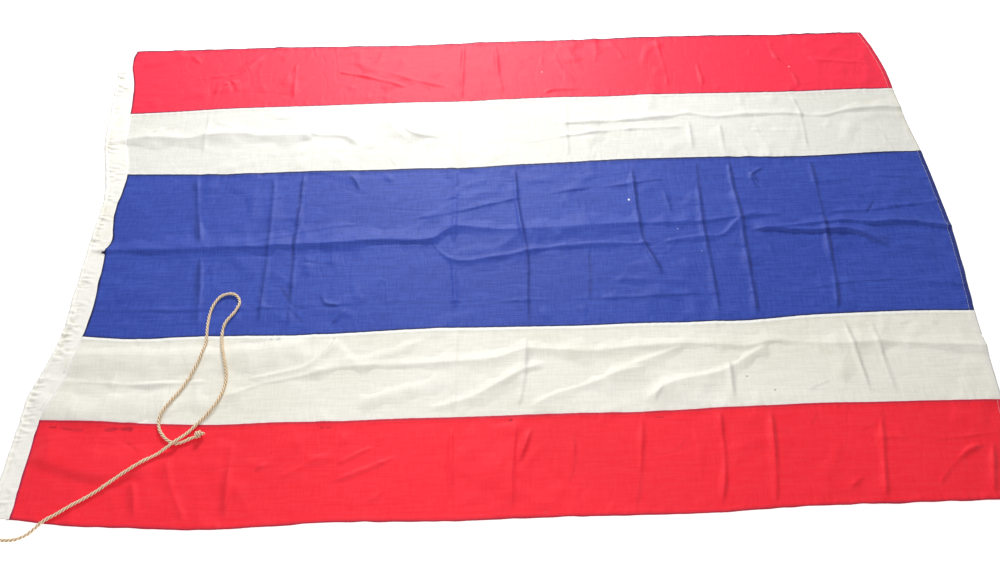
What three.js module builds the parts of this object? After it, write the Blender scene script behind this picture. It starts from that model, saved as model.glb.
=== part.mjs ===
// Five-band sewn cloth flag laid open on a flat surface, with its canvas heading and hoist rope.
// Millimetres. The origin is on the surface under the middle of the flag. +X runs from the
// hoist to the fly, +Y from the lower edge to the upper edge, and +Z is up.
// Each band is a thin sheet that lies flat and rises only where the cloth was once folded.
import * as THREE from 'three';

// Driving sizes.
const CLOTH_THICKNESS = 1.5;
const PIECE_GAP = 0.3;
const HALF_LENGTH = 900;
const COLUMN_PITCH = 40;
const FOLD_TAPER = 70;

// Outline of the flag as it lies, [x, y]: the long lines run from the hoist to the fly and the
// short edges from the lower corner to the upper corner.
const TOP_EDGE = [
  [-910, 605], [-797, 603], [-685, 603], [-572, 603], [-459, 601], [-347, 598], [-234, 596], [-121, 597],
  [-9, 600], [104, 599], [217, 598], [330, 601], [442, 601], [555, 599], [668, 596], [780, 594],
  [893, 594],
];
const UPPER_RED_SEAM = [
  [-885, 388], [-772, 391], [-659, 396], [-546, 397], [-433, 397], [-320, 398], [-207, 399], [-94, 397],
  [19, 400], [132, 402], [245, 400], [358, 402], [471, 401], [584, 399], [697, 398], [810, 400],
  [923, 399],
];
const UPPER_WHITE_SEAM = [
  [-858, 202], [-746, 198], [-634, 194], [-522, 195], [-410, 196], [-298, 194], [-186, 195], [-74, 192],
  [39, 198], [151, 201], [263, 205], [375, 205], [487, 204], [599, 199], [711, 200], [823, 204],
  [935, 204],
];
const LOWER_WHITE_SEAM = [
  [-854, -219], [-743, -229], [-632, -227], [-520, -228], [-409, -230], [-298, -227], [-186, -223],
  [-75, -223], [36, -224], [147, -225], [259, -223], [370, -224], [481, -223], [592, -215], [704, -212],
  [815, -211], [926, -214],
];
const LOWER_RED_SEAM = [
  [-888, -400], [-775, -406], [-663, -413], [-550, -418], [-438, -416], [-325, -417], [-212, -415],
  [-100, -415], [13, -414], [126, -413], [238, -414], [351, -411], [464, -408], [576, -405], [689, -406],
  [801, -406], [914, -409],
];
const BOTTOM_EDGE = [
  [-892, -590], [-780, -605], [-667, -611], [-555, -618], [-443, -615], [-330, -610], [-218, -611],
  [-106, -613], [7, -611], [119, -610], [231, -610], [343, -610], [456, -604], [568, -601], [680, -600],
  [793, -599], [905, -598],
];
const HOIST_EDGE = [
  [-892, -590], [-891, -482], [-888, -400], [-864, -312], [-852, -219], [-848, -191], [-846, -150],
  [-848, -105], [-849, -75], [-850, -45], [-852, -14], [-844, 17], [-850, 50], [-855, 90], [-855, 116],
  [-851, 150], [-850, 200], [-872, 297], [-895, 487], [-914, 569], [-910, 605],
];
const FLY_EDGE = [
  [905, -598], [916, -406], [923, -292], [926, -216], [932, -142], [941, -11], [940, 70], [935, 207],
  [929, 268], [924, 336], [920, 468], [901, 567], [893, 594],
];

// The five bands from the top down: name, the line above, the line below, rows of facets, colour.
const BANDS = [
  { name: 'band_red_top', above: TOP_EDGE, below: UPPER_RED_SEAM, rows: 6, colour: 0xe8394f },
  { name: 'band_white_top', above: UPPER_RED_SEAM, below: UPPER_WHITE_SEAM, rows: 6, colour: 0xeeeeea },
  { name: 'band_blue', above: UPPER_WHITE_SEAM, below: LOWER_WHITE_SEAM, rows: 16, colour: 0x4a54a8 },
  { name: 'band_white_bottom', above: LOWER_WHITE_SEAM, below: LOWER_RED_SEAM, rows: 6, colour: 0xe4e4dc },
  { name: 'band_red_bottom', above: LOWER_RED_SEAM, below: BOTTOM_EDGE, rows: 6, colour: 0xe02f45 },
];

// Soft folds that wander over the cloth: the crest's route, its rise and its reach to each side.
const FOLDS = [
  { route: [[-900, -6], [-750, -13], [-540, -12], [-360, -9], [-165, -8]], rise: 9, reach: 56 },
  { route: [[-240, -6], [-165, -8], [-104, 26], [-13, 19], [112, 18], [290, 24]], rise: 7, reach: 40 },
  { route: [[-240, -6], [-107, -56], [-15, -52], [69, -36], [180, -27], [400, -17], [470, 0], [560, 48]],
    rise: 8, reach: 42 },
  { route: [[500, 12], [640, 4], [725, 3], [800, -34]], rise: 8, reach: 36 },
  { route: [[660, 40], [743, 16], [800, 20], [960, 6]], rise: 7, reach: 34 },
  { route: [[-600, -10], [-424, 27], [-211, 53], [5, 95], [159, 121], [351, 144], [649, 122]],
    rise: 3.5, reach: 36 },
  { route: [[-900, -160], [-500, -163], [-226, -156], [280, -161], [593, -155], [795, -136], [960, -158]],
    rise: 3.5, reach: 34 },
  { route: [[-930, 300], [-813, 309], [-674, 312], [-423, 304], [-234, 320], [90, 313], [330, 322],
    [432, 336], [560, 328], [796, 333], [960, 332]], rise: 5.5, reach: 38 },
  { route: [[-930, -316], [-725, -330], [-519, -325], [-393, -300], [-332, -234]], rise: 5, reach: 36 },
  { route: [[-374, -309], [-188, -302], [-25, -292], [87, -279], [353, -272], [531, -269], [645, -281],
    [960, -296]], rise: 5, reach: 36 },
  { route: [[38, -398], [97, -368], [164, -350], [218, -322], [330, -330], [426, -304]], rise: 4, reach: 34 },
  { route: [[-950, 474], [-831, 485], [-673, 507], [-599, 562], [-560, 620]], rise: 4, reach: 40 },
  { route: [[-930, -474], [-841, -490], [-754, -508], [-640, -500]], rise: 4.5, reach: 44 },
];

// Straight folds across the flag's whole height, [x on the flat cloth, rise].
const UPRIGHT_FOLDS = [[-640, 2], [-505, 2.5], [-106, 3], [30, 2.5], [288, 3], [423, 2.5], [500, 3], [672, 3]];
const UPRIGHT_REACH = 38;

// Canvas heading: a doubled strip along the hoist with the rope's channel along its outer edge.
const HEADING_OUTER = [
  [-930, -588], [-929, -514], [-925, -400], [-924, -353], [-905, -279], [-894, -219], [-892, -117],
  [-890, 20], [-889, 156], [-898, 196], [-922, 299], [-932, 415], [-941, 570], [-939, 619],
];
const HEADING_PUCKER = 0.35;
const CHANNEL_OFFSET = 4.6;
// The channel's outline, [distance from the outer edge, height].
const CHANNEL_PROFILE = [[0, 0], [0, 3.4], [1.8, 6.2], [CHANNEL_OFFSET, 7.2], [7.2, 6.1], [9.4, 2.7]];
const HEADING_FLAT = 2.4;
// Turn, in radians, from one pucker of the heading to the next.
const PUCKER_TURN = 2.4;
// Times a band's point is moved between its curved edges before it settles.
const EDGE_PASSES = 4;
// Height above all pieces from which the cloth under the rope is felt.
const FEELER_START = 100;

// Hoist rope: it leaves the channel at the lower corner, turns back over the lower edge, lies in a
// long loop over the lower bands and passes under itself to a stopper knot.
const ROPE_DIAMETER = 6;
const ROPE_SIDES = 8;
const ROPE_STEPS = 80;
const ROPE_ROUTE = [
  [-925.5, -601], [-921, -612], [-912, -621], [-898, -626.5], [-882, -628], [-866, -626], [-850, -618],
  [-837, -605], [-822, -592], [-794, -575], [-751, -547], [-706, -514], [-667, -487], [-640, -469],
  [-618, -453], [-597, -431], [-570, -398], [-550, -364], [-545, -325], [-553, -285], [-566, -240],
  [-566, -202], [-549, -172], [-543, -152], [-552, -134], [-568, -129], [-586, -138], [-598, -165],
  [-600, -200], [-597, -240], [-602, -280], [-620, -327], [-646, -375], [-658, -402], [-655, -424],
  [-643, -441], [-630, -451], [-617, -455], [-605, -452], [-594, -446.5], [-583, -442],
];
// The route's point where the rope's standing part passes over its tail, and the hump's half length.
const ROPE_CROSSING = [-620, -455];
const CROSSING_REACH = 40;
const KNOT_LENGTH = 20;
const KNOT_SIDES = 12;
// Half section of the stopper knot and its short frayed end, [radius, distance along the rope].
const KNOT_PROFILE = [
  [0, 0], [3, 0], [4.6, 1.6], [5.6, 4.2], [5.7, 7], [4.9, 9.6], [5.3, 11.4], [4.2, 13.2], [2.8, 14.4],
  [3.3, 17.4], [3.5, KNOT_LENGTH], [0, KNOT_LENGTH],
];

const { clamp, lerp, mapLinear, smoothstep } = THREE.MathUtils;

// Smooth curve through points in rising order of coordinate `key`; returns the other coordinate.
function curveAt(points, value, key = 0) {
  const other = 1 - key;
  let i = 1;
  while (i < points.length - 1 && points[i][key] < value) i += 1;
  const at = (k) => points[clamp(k, 0, points.length - 1)];
  const slope = (k) => (at(k + 1)[other] - at(k - 1)[other]) / (at(k + 1)[key] - at(k - 1)[key]);
  const [from, to] = [at(i - 1), at(i)];
  const span = to[key] - from[key];
  const t = clamp((value - from[key]) / span, 0, 1);
  const [t2, t3] = [t * t, t * t * t];
  return (2 * t3 - 3 * t2 + 1) * from[other] + (t3 - 2 * t2 + t) * span * slope(i - 1)
    + (3 * t2 - 2 * t3) * to[other] + (t3 - t2) * span * slope(i);
}

// Nearest point of a route to (x, y): its distance, how far along the route it is, and the rest.
function nearestOnRoute(route, x, y) {
  let best = { distance: Infinity, before: 0 };
  let length = 0;
  for (let i = 1; i < route.length; i += 1) {
    const [ax, ay] = route[i - 1];
    const [dx, dy] = [route[i][0] - ax, route[i][1] - ay];
    const span = Math.hypot(dx, dy);
    const t = clamp(((x - ax) * dx + (y - ay) * dy) / (span * span), 0, 1);
    const distance = Math.hypot(x - ax - t * dx, y - ay - t * dy);
    if (distance < best.distance) best = { distance, before: length + t * span };
    length += span;
  }
  return { ...best, after: length - best.before };
}

// A rounded ridge: full at distance 0 and nothing from `reach` on.
function ridge(distance, reach) {
  return distance < reach ? Math.cos((Math.PI / 2) * (distance / reach)) ** 2 : 0;
}

function foldHeight({ route, rise, reach }, x, y) {
  const { distance, before, after } = nearestOnRoute(route, x, y);
  return rise * ridge(distance, reach) * smoothstep(Math.min(before, after), 0, FOLD_TAPER);
}

// Where a point of the cloth lies along its flat length, from -HALF_LENGTH to HALF_LENGTH.
function flatPlace(x, y) {
  return mapLinear(x, curveAt(HOIST_EDGE, y, 1), curveAt(FLY_EDGE, y, 1), -HALF_LENGTH, HALF_LENGTH);
}

// Height of the cloth's underside above the surface.
function restHeight(x, y) {
  const place = flatPlace(x, y);
  const upright = UPRIGHT_FOLDS.map(([centre, rise]) => rise * ridge(Math.abs(place - centre), UPRIGHT_REACH));
  return Math.hypot(...FOLDS.map((fold) => foldHeight(fold, x, y)), ...upright);
}

// Places of the columns of facets on the flat cloth, moved onto the upright folds next to them.
function columnPlaces() {
  const count = Math.round((2 * HALF_LENGTH) / COLUMN_PITCH);
  const places = [];
  for (let i = 0; i <= count; i += 1) {
    const even = -HALF_LENGTH + (i * 2 * HALF_LENGTH) / count;
    const fold = UPRIGHT_FOLDS.find(([centre]) => Math.abs(centre - even) < COLUMN_PITCH / 2);
    places.push(fold ? fold[0] : even);
  }
  return places;
}

// Point of a band at share `u` of its length and share `v` of its width, from its upper line down.
function bandPoint(band, u, v) {
  const inset = (line, sign) => (line === TOP_EDGE || line === BOTTOM_EDGE ? 0 : (sign * PIECE_GAP) / 2);
  let x = lerp(-HALF_LENGTH, HALF_LENGTH, u);
  let y = 0;
  for (let pass = 0; pass < EDGE_PASSES; pass += 1) {
    const high = curveAt(band.above, x) + inset(band.above, -1);
    const low = curveAt(band.below, x) + inset(band.below, 1);
    y = lerp(high, low, v);
    x = lerp(curveAt(HOIST_EDGE, y, 1), curveAt(FLY_EDGE, y, 1), u);
  }
  return [x, y];
}

// Closed geometry from a list of points and a list of triangles that share them.
function closedGeometry(points, triangles) {
  const geometry = new THREE.BufferGeometry();
  geometry.setAttribute('position', new THREE.Float32BufferAttribute(points.flat(), 3));
  geometry.setIndex(triangles.flat());
  geometry.computeVertexNormals();
  return geometry;
}

// Sheet over a grid of underside points, grid[row][column], rows running down and columns to the fly.
function sheetGeometry(grid, thickness) {
  const [rows, columns] = [grid.length, grid[0].length];
  const under = grid.flat();
  const points = [...under, ...under.map(([x, y, z]) => [x, y, z + thickness])];
  const top = rows * columns;
  const triangles = [];
  const wall = (a, b) => triangles.push([a, b, b + top], [a, b + top, a + top]);
  for (let r = 0; r < rows - 1; r += 1) {
    for (let c = 0; c < columns - 1; c += 1) {
      const a = r * columns + c;
      const below = a + columns;
      triangles.push([a, a + 1, below + 1], [a, below + 1, below]);
      triangles.push([a + top, below + 1 + top, a + 1 + top], [a + top, below + top, below + 1 + top]);
    }
  }
  for (let c = 0; c < columns - 1; c += 1) {
    wall(c + 1, c);
    wall((rows - 1) * columns + c, (rows - 1) * columns + c + 1);
  }
  for (let r = 0; r < rows - 1; r += 1) {
    wall(r * columns, (r + 1) * columns);
    wall((r + 2) * columns - 1, (r + 1) * columns - 1);
  }
  return closedGeometry(points, triangles);
}

function material(colour, roughness = 0.95) {
  return new THREE.MeshStandardMaterial({ color: colour, roughness, metalness: 0 });
}

function namedMesh(name, geometry, colour) {
  const mesh = new THREE.Mesh(geometry, material(colour));
  mesh.name = name;
  return mesh;
}

// One band of the flag, from the heading to the fly, lying on the surface with its folds.
function makeBand(band) {
  const shares = columnPlaces().map((place) => mapLinear(place, -HALF_LENGTH, HALF_LENGTH, 0, 1));
  const grid = [];
  for (let row = 0; row <= band.rows; row += 1) {
    grid.push(shares.map((u) => {
      const [x, y] = bandPoint(band, u, row / band.rows);
      return [x, y, restHeight(x, y)];
    }));
  }
  return namedMesh(band.name, sheetGeometry(grid, CLOTH_THICKNESS), band.colour);
}

// Point across the heading at share t of its height, `across` mm from its outer edge.
function headingPoint(t, across) {
  const outerY = lerp(HEADING_OUTER[0][1], HEADING_OUTER.at(-1)[1], t);
  const innerY = lerp(HOIST_EDGE[0][1], HOIST_EDGE.at(-1)[1], t);
  const outerX = curveAt(HEADING_OUTER, outerY, 1);
  const innerX = curveAt(HOIST_EDGE, innerY, 1) - PIECE_GAP;
  const share = across / (innerX - outerX);
  return [lerp(outerX, innerX, share), lerp(outerY, innerY, share), innerX - outerX];
}

// Shares of the heading's height at which the bands' rows of facets meet it, from the bottom up.
function headingShares() {
  const [low, high] = [HOIST_EDGE[0][1], HOIST_EDGE.at(-1)[1]];
  const heights = [low];
  for (const band of BANDS.toReversed()) {
    for (let row = band.rows - 1; row >= 0; row -= 1) heights.push(bandPoint(band, 0, row / band.rows)[1]);
  }
  return heights.map((y) => clamp(mapLinear(y, low, high, 0, 1), 0, 1));
}

// The heading: rings of its section, flat below, with a bead over the rope's channel and low puckers.
function makeHeading() {
  const ringOf = (t, index) => {
    const width = headingPoint(t, 0)[2];
    const pucker = HEADING_PUCKER * Math.sin(index * PUCKER_TURN);
    const section = [...CHANNEL_PROFILE, [width / 2, HEADING_FLAT + pucker], [width, HEADING_FLAT], [width, 0]];
    return section.map(([across, height]) => {
      const [x, y] = headingPoint(t, across);
      return [x, y, restHeight(x, y) + height];
    });
  };
  const rings = headingShares().map(ringOf);
  const size = rings[0].length;
  const triangles = [];
  for (let i = 0; i < rings.length - 1; i += 1) {
    for (let k = 0; k < size; k += 1) {
      const a = i * size + k;
      const b = i * size + ((k + 1) % size);
      triangles.push([a, b + size, a + size], [a, b, b + size]);
    }
  }
  const outline = rings[0].map(([x, , z]) => new THREE.Vector2(x, z));
  const lastRing = (rings.length - 1) * size;
  for (const corners of THREE.ShapeUtils.triangulateShape(outline, [])) {
    const facesBack = THREE.ShapeUtils.isClockWise(corners.map((k) => outline[k]));
    const [a, b, c] = facesBack ? corners.reverse() : corners;
    triangles.push([a, b, c], [lastRing + a, lastRing + c, lastRing + b]);
  }
  return namedMesh('heading', closedGeometry(rings.flat(), triangles), 0xdedccf);
}

// Top of the laid pieces at (x, y), or the surface itself where there are none.
function topUnder(pieces, x, y) {
  const down = new THREE.Raycaster(new THREE.Vector3(x, y, FEELER_START), new THREE.Vector3(0, 0, -1));
  const hits = down.intersectObjects(pieces);
  return hits.length ? hits[0].point.z : 0;
}

// Highest place under a stretch of rope around (x, y).
function highestAround(pieces, x, y) {
  const offsets = [-1.5, -0.75, 0, 0.75, 1.5].map((share) => share * ROPE_DIAMETER);
  return Math.max(...offsets.flatMap((dx) => offsets.map((dy) => topUnder(pieces, x + dx, y + dy))));
}

// The rope's centre line: it starts in line with the channel and then lies on what is under it.
function ropeCurve(pieces) {
  const [exitX, exitY] = headingPoint(0, CHANNEL_OFFSET);
  const route = [[exitX, exitY - PIECE_GAP], ...ROPE_ROUTE].map(([x, y]) => new THREE.Vector3(x, y, 0));
  const stations = new THREE.CatmullRomCurve3(route, false, 'centripetal').getSpacedPoints(2 * ROPE_STEPS);
  const floors = stations.map(({ x, y }) => highestAround(pieces, x, y));
  stations.forEach((station, index) => {
    const floor = Math.max(...floors.slice(Math.max(0, index - 1), index + 2));
    const away = Math.hypot(station.x - ROPE_CROSSING[0], station.y - ROPE_CROSSING[1]);
    const isStandingPart = index < ROPE_STEPS;
    const hump = isStandingPart ? (ROPE_DIAMETER + 3 * PIECE_GAP) * ridge(away, CROSSING_REACH) : 0;
    station.z = floor + ROPE_DIAMETER / 2 + PIECE_GAP + hump;
  });
  return new THREE.CatmullRomCurve3(stations, false, 'centripetal');
}

function makeRope(curve) {
  const section = new THREE.Shape();
  for (let i = 0; i < ROPE_SIDES; i += 1) {
    const angle = (2 * Math.PI * i) / ROPE_SIDES;
    const place = [(ROPE_DIAMETER / 2) * Math.cos(angle), (ROPE_DIAMETER / 2) * Math.sin(angle)];
    if (i === 0) section.moveTo(...place);
    else section.lineTo(...place);
  }
  const geometry = new THREE.ExtrudeGeometry(section, { steps: ROPE_STEPS, extrudePath: curve });
  return namedMesh('hoist_rope', geometry, 0xd9b487);
}

// The stopper knot with its short frayed end, turned in line with the rope's last stretch.
function makeKnot(curve, pieces) {
  const profile = KNOT_PROFILE.map(([radius, along]) => new THREE.Vector2(radius, along));
  const mesh = namedMesh('rope_knot', new THREE.LatheGeometry(profile, KNOT_SIDES), 0xd2ab7c);
  const end = curve.getPointAt(1);
  const along = curve.getTangentAt(1);
  along.z = 0;
  along.normalize();
  mesh.position.copy(end).addScaledVector(along, PIECE_GAP);
  const centre = mesh.position.clone().addScaledVector(along, KNOT_LENGTH / 2);
  const radius = Math.max(...KNOT_PROFILE.map(([r]) => r));
  const floor = Math.max(highestAround(pieces, centre.x, centre.y), highestAround(pieces, end.x, end.y));
  mesh.position.z = floor + radius + PIECE_GAP;
  mesh.quaternion.setFromUnitVectors(new THREE.Vector3(0, 1, 0), along);
  return mesh;
}

const bands = BANDS.map(makeBand);
const ropeLine = ropeCurve(bands);

const flag = new THREE.Group();
flag.add(...bands, makeHeading(), makeRope(ropeLine), makeKnot(ropeLine, bands));

export default flag;
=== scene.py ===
"""Five-band sewn cotton flag laid open, with its canvas heading and hoist rope.

Metres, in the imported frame: the origin is on the surface under the middle of the flag, +X runs
from the hoist to the fly, +Y from the lower edge to the upper edge, and +Z is up.
"""
from __future__ import annotations

import logging
import math
from dataclasses import dataclass, field
from enum import Enum

import bpy
import numpy as np
from mathutils import Matrix, Vector

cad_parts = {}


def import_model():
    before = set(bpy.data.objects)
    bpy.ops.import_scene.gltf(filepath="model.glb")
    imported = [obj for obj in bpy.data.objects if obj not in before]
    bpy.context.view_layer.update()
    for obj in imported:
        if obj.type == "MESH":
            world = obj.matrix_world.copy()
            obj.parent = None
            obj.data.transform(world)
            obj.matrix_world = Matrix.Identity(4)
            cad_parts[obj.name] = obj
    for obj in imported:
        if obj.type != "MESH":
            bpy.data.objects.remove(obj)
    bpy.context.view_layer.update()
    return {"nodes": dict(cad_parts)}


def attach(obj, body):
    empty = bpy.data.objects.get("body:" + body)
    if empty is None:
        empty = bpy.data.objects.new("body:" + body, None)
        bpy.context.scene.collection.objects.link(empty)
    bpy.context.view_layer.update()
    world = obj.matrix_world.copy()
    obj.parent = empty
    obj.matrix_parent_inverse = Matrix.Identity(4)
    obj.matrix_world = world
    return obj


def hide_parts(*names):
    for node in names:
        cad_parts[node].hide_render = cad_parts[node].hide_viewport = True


LOG = logging.getLogger("flag")
MM = 0.001
BODY = "root"
# Spacing of the threads in the bunting and in the canvas, in millimetres.
BUNTING_THREAD = 1.1
CANVAS_THREAD = 1.6
Point = tuple[float, float]
Colour = tuple[float, float, float]


# --------------------------------------------------------------------------- outlines and folds


@dataclass(frozen=True)
class Line:
    """A smooth line through points listed in rising order of one coordinate.

    Attributes:
        points: The (x, y) points in metres.
        key: 0 if the points rise in x, 1 if they rise in y.
    """

    points: tuple[Point, ...]
    key: int = 0

    def at(self, value: np.ndarray) -> np.ndarray:
        """Return the other coordinate where the key coordinate has the given values.

        Args:
            value: Key coordinates, in metres.

        Returns:
            The other coordinate at each, held at the end values past the ends.
        """
        table = np.array(self.points)
        key, other = table[:, self.key], table[:, 1 - self.key]
        slope = np.gradient(other, key)
        value = np.clip(value, key[0], key[-1])
        i = np.clip(np.searchsorted(key, value) - 1, 0, len(key) - 2)
        span = key[i + 1] - key[i]
        t = (value - key[i]) / span
        low = (2 * t**3 - 3 * t**2 + 1) * other[i] + (t**3 - 2 * t**2 + t) * span * slope[i]
        high = (3 * t**2 - 2 * t**3) * other[i + 1] + (t**3 - t**2) * span * slope[i + 1]
        return low + high


TOP_EDGE = Line((
    (-0.910, 0.605), (-0.797, 0.603), (-0.685, 0.603), (-0.572, 0.603), (-0.459, 0.601), (-0.347, 0.598),
    (-0.234, 0.596), (-0.121, 0.597), (-0.009, 0.600), (0.104, 0.599), (0.217, 0.598), (0.330, 0.601),
    (0.442, 0.601), (0.555, 0.599), (0.668, 0.596), (0.780, 0.594), (0.893, 0.594),
))
UPPER_RED_SEAM = Line((
    (-0.885, 0.388), (-0.772, 0.391), (-0.659, 0.396), (-0.546, 0.397), (-0.433, 0.397), (-0.320, 0.398),
    (-0.207, 0.399), (-0.094, 0.397), (0.019, 0.400), (0.132, 0.402), (0.245, 0.400), (0.358, 0.402),
    (0.471, 0.401), (0.584, 0.399), (0.697, 0.398), (0.810, 0.400), (0.923, 0.399),
))
UPPER_WHITE_SEAM = Line((
    (-0.858, 0.202), (-0.746, 0.198), (-0.634, 0.194), (-0.522, 0.195), (-0.410, 0.196), (-0.298, 0.194),
    (-0.186, 0.195), (-0.074, 0.192), (0.039, 0.198), (0.151, 0.201), (0.263, 0.205), (0.375, 0.205),
    (0.487, 0.204), (0.599, 0.199), (0.711, 0.200), (0.823, 0.204), (0.935, 0.204),
))
LOWER_WHITE_SEAM = Line((
    (-0.854, -0.219), (-0.743, -0.229), (-0.632, -0.227), (-0.520, -0.228), (-0.409, -0.230),
    (-0.298, -0.227), (-0.186, -0.223), (-0.075, -0.223), (0.036, -0.224), (0.147, -0.225),
    (0.259, -0.223), (0.370, -0.224), (0.481, -0.223), (0.592, -0.215), (0.704, -0.212), (0.815, -0.211),
    (0.926, -0.214),
))
LOWER_RED_SEAM = Line((
    (-0.888, -0.400), (-0.775, -0.406), (-0.663, -0.413), (-0.550, -0.418), (-0.438, -0.416),
    (-0.325, -0.417), (-0.212, -0.415), (-0.100, -0.415), (0.013, -0.414), (0.126, -0.413),
    (0.238, -0.414), (0.351, -0.411), (0.464, -0.408), (0.576, -0.405), (0.689, -0.406), (0.801, -0.406),
    (0.914, -0.409),
))
BOTTOM_EDGE = Line((
    (-0.892, -0.590), (-0.780, -0.605), (-0.667, -0.611), (-0.555, -0.618), (-0.443, -0.615),
    (-0.330, -0.610), (-0.218, -0.611), (-0.106, -0.613), (0.007, -0.611), (0.119, -0.610),
    (0.231, -0.610), (0.343, -0.610), (0.456, -0.604), (0.568, -0.601), (0.680, -0.600), (0.793, -0.599),
    (0.905, -0.598),
))
HOIST_EDGE = Line((
    (-0.892, -0.590), (-0.891, -0.482), (-0.888, -0.400), (-0.864, -0.312), (-0.852, -0.219),
    (-0.848, -0.191), (-0.846, -0.150), (-0.848, -0.105), (-0.849, -0.075), (-0.850, -0.045),
    (-0.852, -0.014), (-0.844, 0.017), (-0.850, 0.050), (-0.855, 0.090), (-0.855, 0.116), (-0.851, 0.150),
    (-0.850, 0.200), (-0.872, 0.297), (-0.895, 0.487), (-0.914, 0.569), (-0.910, 0.605),
), key=1)
FLY_EDGE = Line((
    (0.905, -0.598), (0.916, -0.406), (0.923, -0.292), (0.926, -0.216), (0.932, -0.142), (0.941, -0.011),
    (0.940, 0.070), (0.935, 0.207), (0.929, 0.268), (0.924, 0.336), (0.920, 0.468), (0.901, 0.567),
    (0.893, 0.594),
), key=1)
HEADING_OUTER = Line((
    (-0.930, -0.588), (-0.929, -0.514), (-0.925, -0.400), (-0.924, -0.353), (-0.905, -0.279),
    (-0.894, -0.219), (-0.892, -0.117), (-0.890, 0.020), (-0.889, 0.156), (-0.898, 0.196),
    (-0.922, 0.299), (-0.932, 0.415), (-0.941, 0.570), (-0.939, 0.619),
), key=1)


class Crest(Enum):
    """How the top of a fold is shaped."""

    ROUND = "round"
    SHARP = "sharp"


@dataclass(frozen=True)
class Fold:
    """A fold or crease that runs along a route over the cloth.

    Attributes:
        route: The crest's points in metres, from the hoist to the fly or from the top down.
        rise: Height of the crest in millimetres, negative for a trough.
        left: Reach in millimetres to the left of the route's direction.
        right: Reach in millimetres to its right.
        crest: The crest's shape.
        fade: Length in millimetres over which each end fades out.
    """

    route: tuple[Point, ...]
    rise: float
    left: float
    right: float
    crest: Crest = Crest.SHARP
    fade: float = 35.0

    def height(self, x: np.ndarray, y: np.ndarray) -> np.ndarray:
        """Return the fold's height at points of the cloth.

        Args:
            x: Places along the flag, in metres.
            y: Places across the flag, in metres.

        Returns:
            Heights in metres, 0 where the fold doesn't reach.
        """
        line = smooth_route(self.route)
        reach = max(self.left, self.right) * MM
        (x0, y0), (x1, y1) = line.min(axis=0) - reach, line.max(axis=0) + reach
        near = np.flatnonzero((x > x0) & (x < x1) & (y > y0) & (y < y1))
        height = np.zeros(len(x))
        if not len(near):
            return height
        side, ends = offset_from(line, x[near], y[near])
        share = np.abs(side) / np.where(side > 0, self.left, self.right) / MM
        inside = np.clip(1 - share, 0, 1)
        shape = np.sin(inside * math.pi / 2) ** 2 if self.crest is Crest.ROUND else inside**2
        height[near] = self.rise * MM * shape * smooth_step(ends / (self.fade * MM))
        return height


def smooth_step(t: np.ndarray) -> np.ndarray:
    """Return 0 below 0, 1 above 1 and a smooth rise between."""
    t = np.clip(t, 0, 1)
    return t * t * (3 - 2 * t)


def smooth_route(points: tuple[Point, ...] | np.ndarray, per_span: int = 6) -> np.ndarray:
    """Return a smooth line through given points.

    Args:
        points: The points, of 2 or 3 coordinates.
        per_span: Pieces that each stretch between two points is divided into.

    Returns:
        The line's points, one row each.
    """
    p = np.array(points, dtype=float)
    p = np.vstack([2 * p[0] - p[1], p, 2 * p[-1] - p[-2]])
    t = (np.arange(per_span) / per_span)[:, None]
    spans = [
        0.5 * (2 * b + (c - a) * t + (2 * a - 5 * b + 4 * c - d) * t**2 + (3 * b - a - 3 * c + d) * t**3)
        for a, b, c, d in zip(p, p[1:], p[2:], p[3:])
    ]
    return np.vstack([*spans, p[-2]])


def offset_from(line: np.ndarray, x: np.ndarray, y: np.ndarray) -> tuple[np.ndarray, np.ndarray]:
    """Measure points against a line.

    Args:
        line: The line's (x, y) points.
        x: Points' x, in metres.
        y: Points' y, in metres.

    Returns:
        The signed distance, positive to the left of the line, and how far along the line the
        nearest place is from the line's nearer end.
    """
    steps = np.hypot(*np.diff(line, axis=0).T)
    before = np.concatenate([[0], np.cumsum(steps)])
    best = np.full(len(x), np.inf)
    side, ends = np.zeros(len(x)), np.zeros(len(x))
    for (ax, ay), (bx, by), step, start in zip(line, line[1:], steps, before):
        ux, uy = (bx - ax) / step, (by - ay) / step
        along = np.clip((x - ax) * ux + (y - ay) * uy, 0, step)
        gap = np.hypot(x - ax - along * ux, y - ay - along * uy)
        closer = gap < best
        best[closer] = gap[closer]
        left = ux * (y - ay) - uy * (x - ax)
        side[closer] = np.where(left > 0, gap, -gap)[closer]
        ends[closer] = np.minimum(start + along, before[-1] - start - along)[closer]
    return side, ends


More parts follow.
